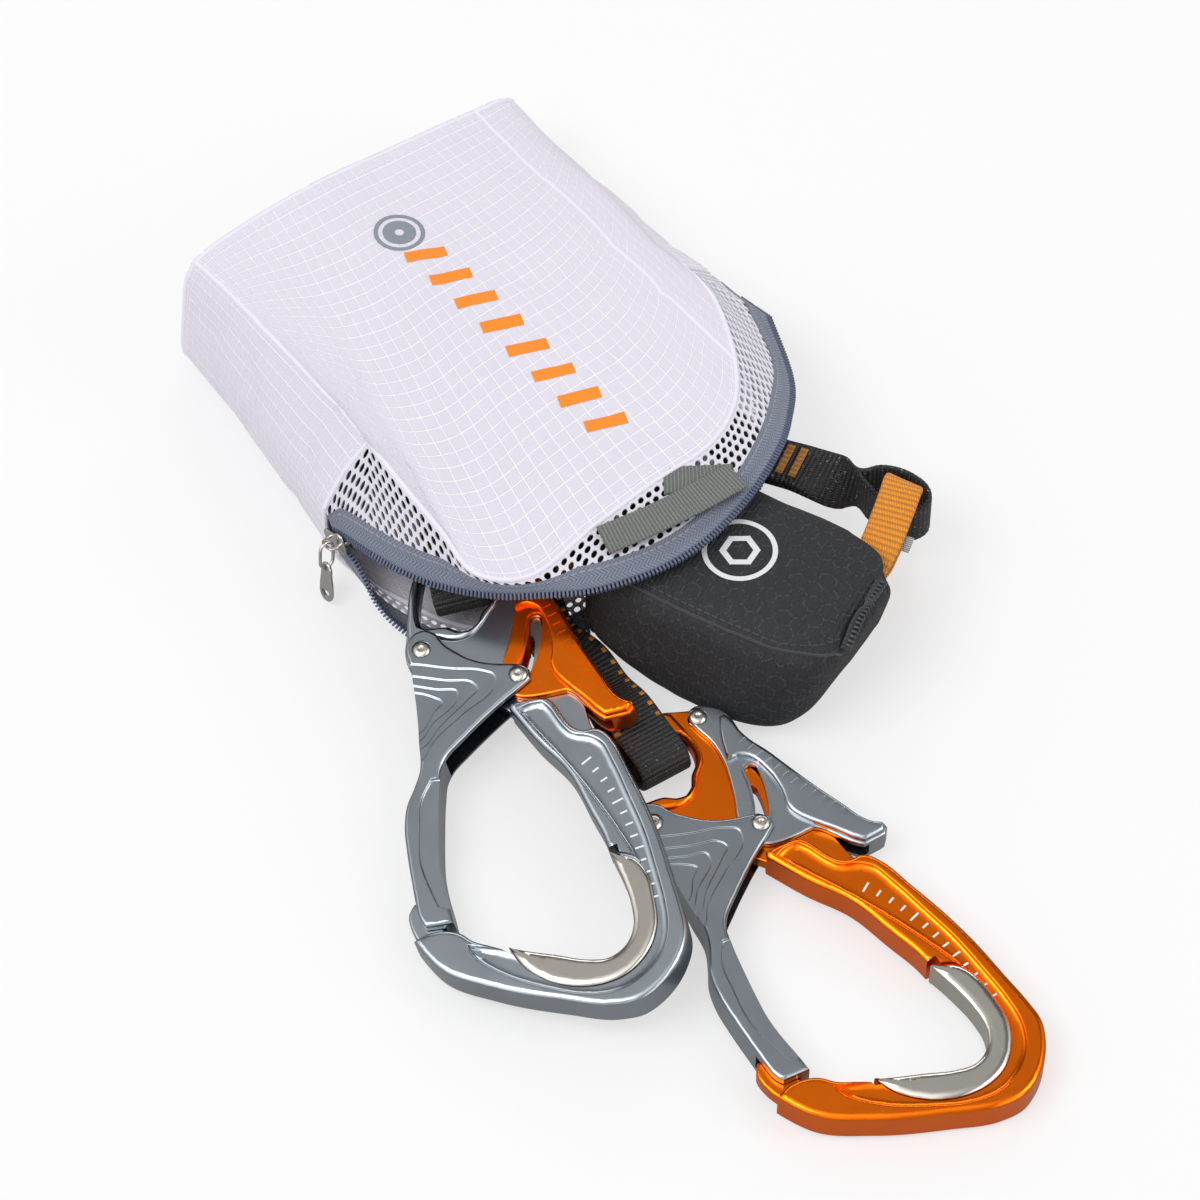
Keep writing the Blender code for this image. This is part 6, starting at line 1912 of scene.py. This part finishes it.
class Slider(bpy.types.Operator):
    """Make the zip's slider, its ring and its tab"""
    bl_idname = "lanyard.slider"
    bl_label = "Zip slider"

    def execute(self, context):
        nickel = steel("nickel", paint(205, 202, 196), 0.22)
        level, outward = bag_direction(1.0, 0.0), bag_direction(0.0, -1.0)
        ahead = (level * math.cos(SLIDER_TILT) + Vector((0.0, 0.0, math.sin(SLIDER_TILT)))).normalized()
        turn = Matrix((ahead, outward.cross(ahead), outward)).transposed().to_4x4()
        place = Matrix.Translation(SHIFT) @ Matrix.Translation(bag_point(SLIDER_PLACE_SHARES)) @ turn
        half = SLIDER_MOUTH / 2
        foot = half + SLIDER_PLATE / 2
        length, width = SLIDER_LENGTH / 2, SLIDER_WIDTH / 2
        side = [(length * u, -width * v) for u, v in SLIDER_SIDE]
        outline = smooth(side + [(x, -y) for x, y in reversed(side)], PULL_STEP, corners=False)
        body = plate("slider_looks", outline, rounded(SLIDER_PLATE / 2, PULL_ROUNDING, 3))
        other = copied(body, "slider_back", Matrix.Translation((0.0, 0.0, -foot)))
        body.data.transform(Matrix.Translation((0.0, 0.0, foot)))
        post = block("slider_post", (SLIDER_POST, SLIDER_POST, SLIDER_MOUTH + SLIDER_PLATE),
                     (length - SLIDER_POST, 0.0, 0.0), 0.0003)
        top = half + SLIDER_PLATE + BAIL_RISE
        span = SLIDER_LENGTH * BAIL_SPAN_SHARE
        leg = [(-span, 0.0, foot), (-span, 0.0, top - 0.0012), (-span * 0.7, 0.0, top - 0.0002)]
        arch = leg + [(0.0, 0.0, top)] + [(-x, y, z) for x, y, z in reversed(leg)]
        arch = smooth(arch, 0.0004, closed=False, corners=False)
        body = joined("slider_looks", [other, post, wire("slider_bail", arch, PULL_WIRE), body])
        body.data.transform(place)
        shade(body)
        dress(body, nickel, "zip_slider", ("zip_slider",), move=False)

        pull = place @ Matrix.Translation((0.0, 0.0, top)) @ Matrix.Rotation(-PULL_LIFT, 4, "X")
        radius = PULL_RING_WIDTH / 2
        near = PULL_WIRE * 2 + GAP - radius
        far = near + radius * 2 - PULL_RING_LENGTH
        ends = []
        for middle, start in ((near, 0.0), (far, math.pi)):
            for k in range(13):
                angle = start + math.pi * k / 12
                ends.append((0.0, middle + radius * math.sin(angle), radius * math.cos(angle)))
        ring = wire("pull_ring_looks", ends, PULL_WIRE, closed=True, sides=12)
        ring.data.transform(pull)
        shade(ring, SMOOTH_TURN)
        dress(ring, nickel, "zip_pull", ("pull_ring",), move=False)
        hole = far - radius
        outline = [(u * PULL_TAB_WIDTH, hole + v * PULL_TAB_LENGTH) for u, v in TAB_SHARES]
        tab = plate("pull_tab_looks", smooth(outline, PULL_STEP, corners=False),
                    rounded(PULL_TAB_THICKNESS / 2, PULL_ROUNDING, 3))
        low = hole - PULL_TAB_LENGTH * 0.70
        side = [(x, low + y) for x, y in TAB_SLOT_SIDE]
        slot = side + [(0.0, low - 0.0016)] + [(-x, y) for x, y in reversed(side)]
        bore = PULL_WIRE * 1.6 + GAP
        cut(tab, [plate("tab_slot", smooth(slot, 0.0004), straight(-0.002, 0.002)),
                  plate("tab_eye", circle((0.0, hole), bore, 24), straight(-0.002, 0.002))])
        tab.data.transform(pull)
        shade(tab)
        dress(tab, nickel, "zip_pull", ("pull_tab",), move=False)
        return {"FINISHED"}


class Arms(bpy.types.Operator):
    """Make the two webbing arms and the folded absorber"""
    bl_idname = "lanyard.arms"
    bl_label = "Arms"

    def execute(self, context):
        chosen = looks().strap
        # Grey painted glints on the lit rib crests, with painted shade between the ribs and painted
        # highlight on them
        weave = webbing("black_webbing", chosen.black, chosen.rib, WEBBING_WIDTH, (0.34, 0.35, 0.36), 0.5,
                        tuple(chosen.amber), BLACK_RIB_SHADING)
        for letter, place, *route in ARMS:
            name, stations = f"arm_{letter}", arm_stations(placed(*place), *route)
            made = band(name + "_webbing", stations, WEBBING_WIDTH, WEBBING_THICKNESS, chosen.rib, 0.12)
            sewn(made, weave, "black_webbing", name)
        across = (pouch_point(0.0, 1.0, 0.0) - pouch_point(0.0, 0.0, 0.0)).normalized()
        near, far = PACK_SHIFT - PACK_LENGTH / 2, PACK_SHIFT + PACK_LENGTH / 2
        places = folded(near, far, PACK_LAYERS, PACK_PITCH, -(PACK_LAYERS - 1) / 2 * PACK_PITCH, 1)
        stations = [(pouch_point(place, 0.0, height), across) for place, height in places]
        made = band("absorber_looks", stations, PACK_WIDTH, WEBBING_THICKNESS, chosen.rib, 0.05)
        sewn(made, weave, "black_webbing", "absorber_webbing")
        return {"FINISHED"}


class Pouch(bpy.types.Operator):
    """Make the pouch with its seams, its zip and a plain print"""
    bl_idname = "lanyard.pouch"
    bl_label = "Pouch"

    def execute(self, context):
        chosen = looks().pouch
        cover = pouch_shell()
        net = honeycomb("pouch_cloth", chosen.cloth, chosen.cell)
        sewn(cover, net, "pouch_cloth", "pouch_cover")
        tree = below(cover)
        thread = satin_thread("pouch_thread", paint(38, 39, 42))
        line = [on_lid(tree, x, y) for x, y in smooth(LID_ROUTE, 0.0012, closed=False, corners=False)]
        sewn(wire("lid_seam", line, 0.00042, sides=8), thread, "pouch_cloth", move=False)
        inner = [(x - 0.0016 * (x > 0.03), y + 0.0018) for x, y in LID_ROUTE]
        dashes = [on_lid(tree, x, y) for x, y in smooth(inner, 0.0026, closed=False, corners=False)]
        stitches = []
        for a, b in zip(dashes, dashes[1:]):
            ends = [a.lerp(b, share) for share in (0.15, 0.5, 0.85)]
            stitches.append(wire("stitch", ends, STITCH_RADIUS, sides=6))
        sewn(joined("lid_stitches", stitches), thread, "pouch_cloth", move=False)

        # Zip down the pouch's end
        stations = []
        for y, z in POUCH_ZIP_SHARES:
            here = pouch_surface(1.0, y, z, POUCH_ZIP_OFF)
            outward = here - pouch_surface(1.0, y, z)
            ahead = pouch_surface(1.0, y, z - 0.1, POUCH_ZIP_OFF) - here
            stations.append((here, outward.cross(ahead).normalized()))
        zip_strip = band("pouch_zip_tape", stations, POUCH_ZIP_WIDTH * 0.8, 0.0010, 0.0012, 0.05)
        woven = tape("pouch_zip_weave", paint(44, 45, 49), paint(60, 62, 66))
        sewn(zip_strip, woven, "zip_coil", "pouch_zip")
        line = [tuple(pouch_surface(1.0, y, z, POUCH_ZIP_OFF + 0.0006)) for y, z in POUCH_ZIP_SHARES]
        line = smooth(line, 0.001, closed=False, corners=False)
        row = teeth("pouch_teeth", line, 0.0014, lambda point: Vector((0.0, 0.0, 1.0)))
        sewn(row, nylon("pouch_coil", paint(52, 54, 58)), "zip_coil")

        # A plain ring with a hexagon in it
        white = ink("white_ink", paint(222, 224, 226))
        centre = (Vector(POUCH_RING_PLACE) + SHIFT)[:2]
        marks = [decal("ring", ring_rows(centre, 0.0095, 0.0110), tree)]
        for k in range(6):
            ends = []
            for turn in (math.tau * (k - 0.1) / 6, math.tau * (k + 1.1) / 6):
                x, y = HEXAGON_RADIUS * math.cos(turn), HEXAGON_RADIUS * math.sin(turn)
                ends.append((centre[0] + x, centre[1] + y))
            marks.append(decal("side", bar_rows(ends[0], ends[1], 0.0018), tree))
        sewn(joined("pouch_ring", marks), white, "pouch_cloth", move=False)
        return {"FINISHED"}


class Loops(bpy.types.Operator):
    """Make the attachment loop, the rest loop, its bar tacks and the label"""
    bl_idname = "lanyard.loops"
    bl_label = "Loops"

    def execute(self, context):
        chosen = looks().strap
        amber = webbing("orange_webbing", chosen.amber, ATTACHMENT_RIB, ATTACHMENT_WIDTH)
        points = [Vector(p) for p in ATTACHMENT_ROUTE]
        turns = [math.radians(a) for a in ATTACHMENT_DEGREES]
        spread = [Vector((math.cos(a), math.sin(a), 0.0)) for a in turns]
        made = band("attachment_webbing", along(points, spread, 0.005),
                    ATTACHMENT_WIDTH, ATTACHMENT_THICKNESS, ATTACHMENT_RIB, 0.16)
        sewn(made, amber, "orange_webbing", "attachment_loop")
        # Pale painted glints on the lit rib crests, with painted shade between the ribs and painted
        # highlight on them
        black = webbing("rest_webbing", chosen.black, chosen.rib, WEBBING_WIDTH, (0.50, 0.50, 0.51), 0.8,
                        rib_shading=BLACK_RIB_SHADING)
        made = band("rest_webbing", strap_rest(), WEBBING_WIDTH, WEBBING_THICKNESS, chosen.rib, 0.08)
        sewn(made, black, "black_webbing", "rest_loop")

        thread = satin_thread("tack_thread", paint(250, 168, 48))
        offset = WEBBING_THICKNESS / 2 + GAP
        lift = offset + WEBBING_THICKNESS / 2 + GAP + TACK_THICKNESS / 2
        start, end = Vector(REST_PAIR_ROUTE[0]), Vector(REST_PAIR_ROUTE[1])
        ahead = (end - start).normalized()
        side = Vector((-ahead.y, ahead.x, 0.0)).normalized()
        rise = ahead.cross(side)
        for number, share in enumerate(TACK_SHARES):
            middle = start.lerp(end, share) + rise * lift
            ends = [(middle + side * TACK_WIDTH * k, ahead) for k in (-0.5, 0.0, 0.5)]
            made = band(f"tack_{number + 1}", ends, TACK_LENGTH, TACK_THICKNESS, 0.0006, 0.3)
            sewn(made, thread, "orange_webbing", f"bar_tack_{number + 1}")

        start, end = points[LABEL_FROM], points[LABEL_FROM + 1]
        ahead = (end - start).normalized()
        side = spread[LABEL_FROM]
        under = ahead.cross(side) * (ATTACHMENT_THICKNESS / 2 + GAP + LABEL_THICKNESS / 2)
        middle = start.lerp(end, 0.5) + under + side * LABEL_OUT
        ends = [(middle + ahead * LABEL_LENGTH * k, side) for k in (-0.5, 0.0, 0.5)]
        made = band("label_ribbon", ends, LABEL_WIDTH, LABEL_THICKNESS, 0.0008, 0.05)
        woven = webbing("label_weave", paint(196, 198, 200), 0.0007, LABEL_WIDTH)
        sewn(made, woven, "white_mesh", "loop_label")
        return {"FINISHED"}


class LanyardPanel(bpy.types.Panel):
    """The lanyard's pieces and looks"""
    bl_idname = "VIEW3D_PT_lanyard"
    bl_label = "Via ferrata lanyard"
    bl_space_type = "VIEW_3D"
    bl_region_type = "UI"
    bl_category = "Lanyard"

    def draw(self, context):
        for kind in LanyardLooks.__annotations__:
            box = self.layout.box()
            box.label(text=looks().bl_rna.properties[kind].name)
            group = getattr(looks(), kind)
            for name in group.__annotations__:
                box.prop(group, name)
        for step in STEPS:
            self.layout.operator(step.bl_idname)


STEPS = (Stage, Carabiners, Springs, Bag, Mouth, Slider, Arms, Pouch, Loops)
GROUPS = (CarabinerLooks, BagLooks, StrapLooks, PouchLooks, StageLooks, LanyardLooks)


def register():
    for item in GROUPS + STEPS + (LanyardPanel,):
        bpy.utils.register_class(item)
    bpy.types.Scene.lanyard_looks = PointerProperty(name="Lanyard", description="Looks of the lanyard",
                                                    type=LanyardLooks)


def unregister():
    del bpy.types.Scene.lanyard_looks
    for item in reversed(GROUPS + STEPS + (LanyardPanel,)):
        bpy.utils.unregister_class(item)


def main():
    register()
    bpy.ops.object.select_all(action="DESELECT")
    bpy.ops.lanyard.stage()
    bpy.ops.lanyard.carabiners()
    bpy.ops.lanyard.springs()
    bpy.ops.lanyard.bag()
    bpy.ops.lanyard.mouth()
    bpy.ops.lanyard.slider()
    bpy.ops.lanyard.arms()
    bpy.ops.lanyard.pouch()
    bpy.ops.lanyard.loops()


if __name__ == "__main__":
    main()
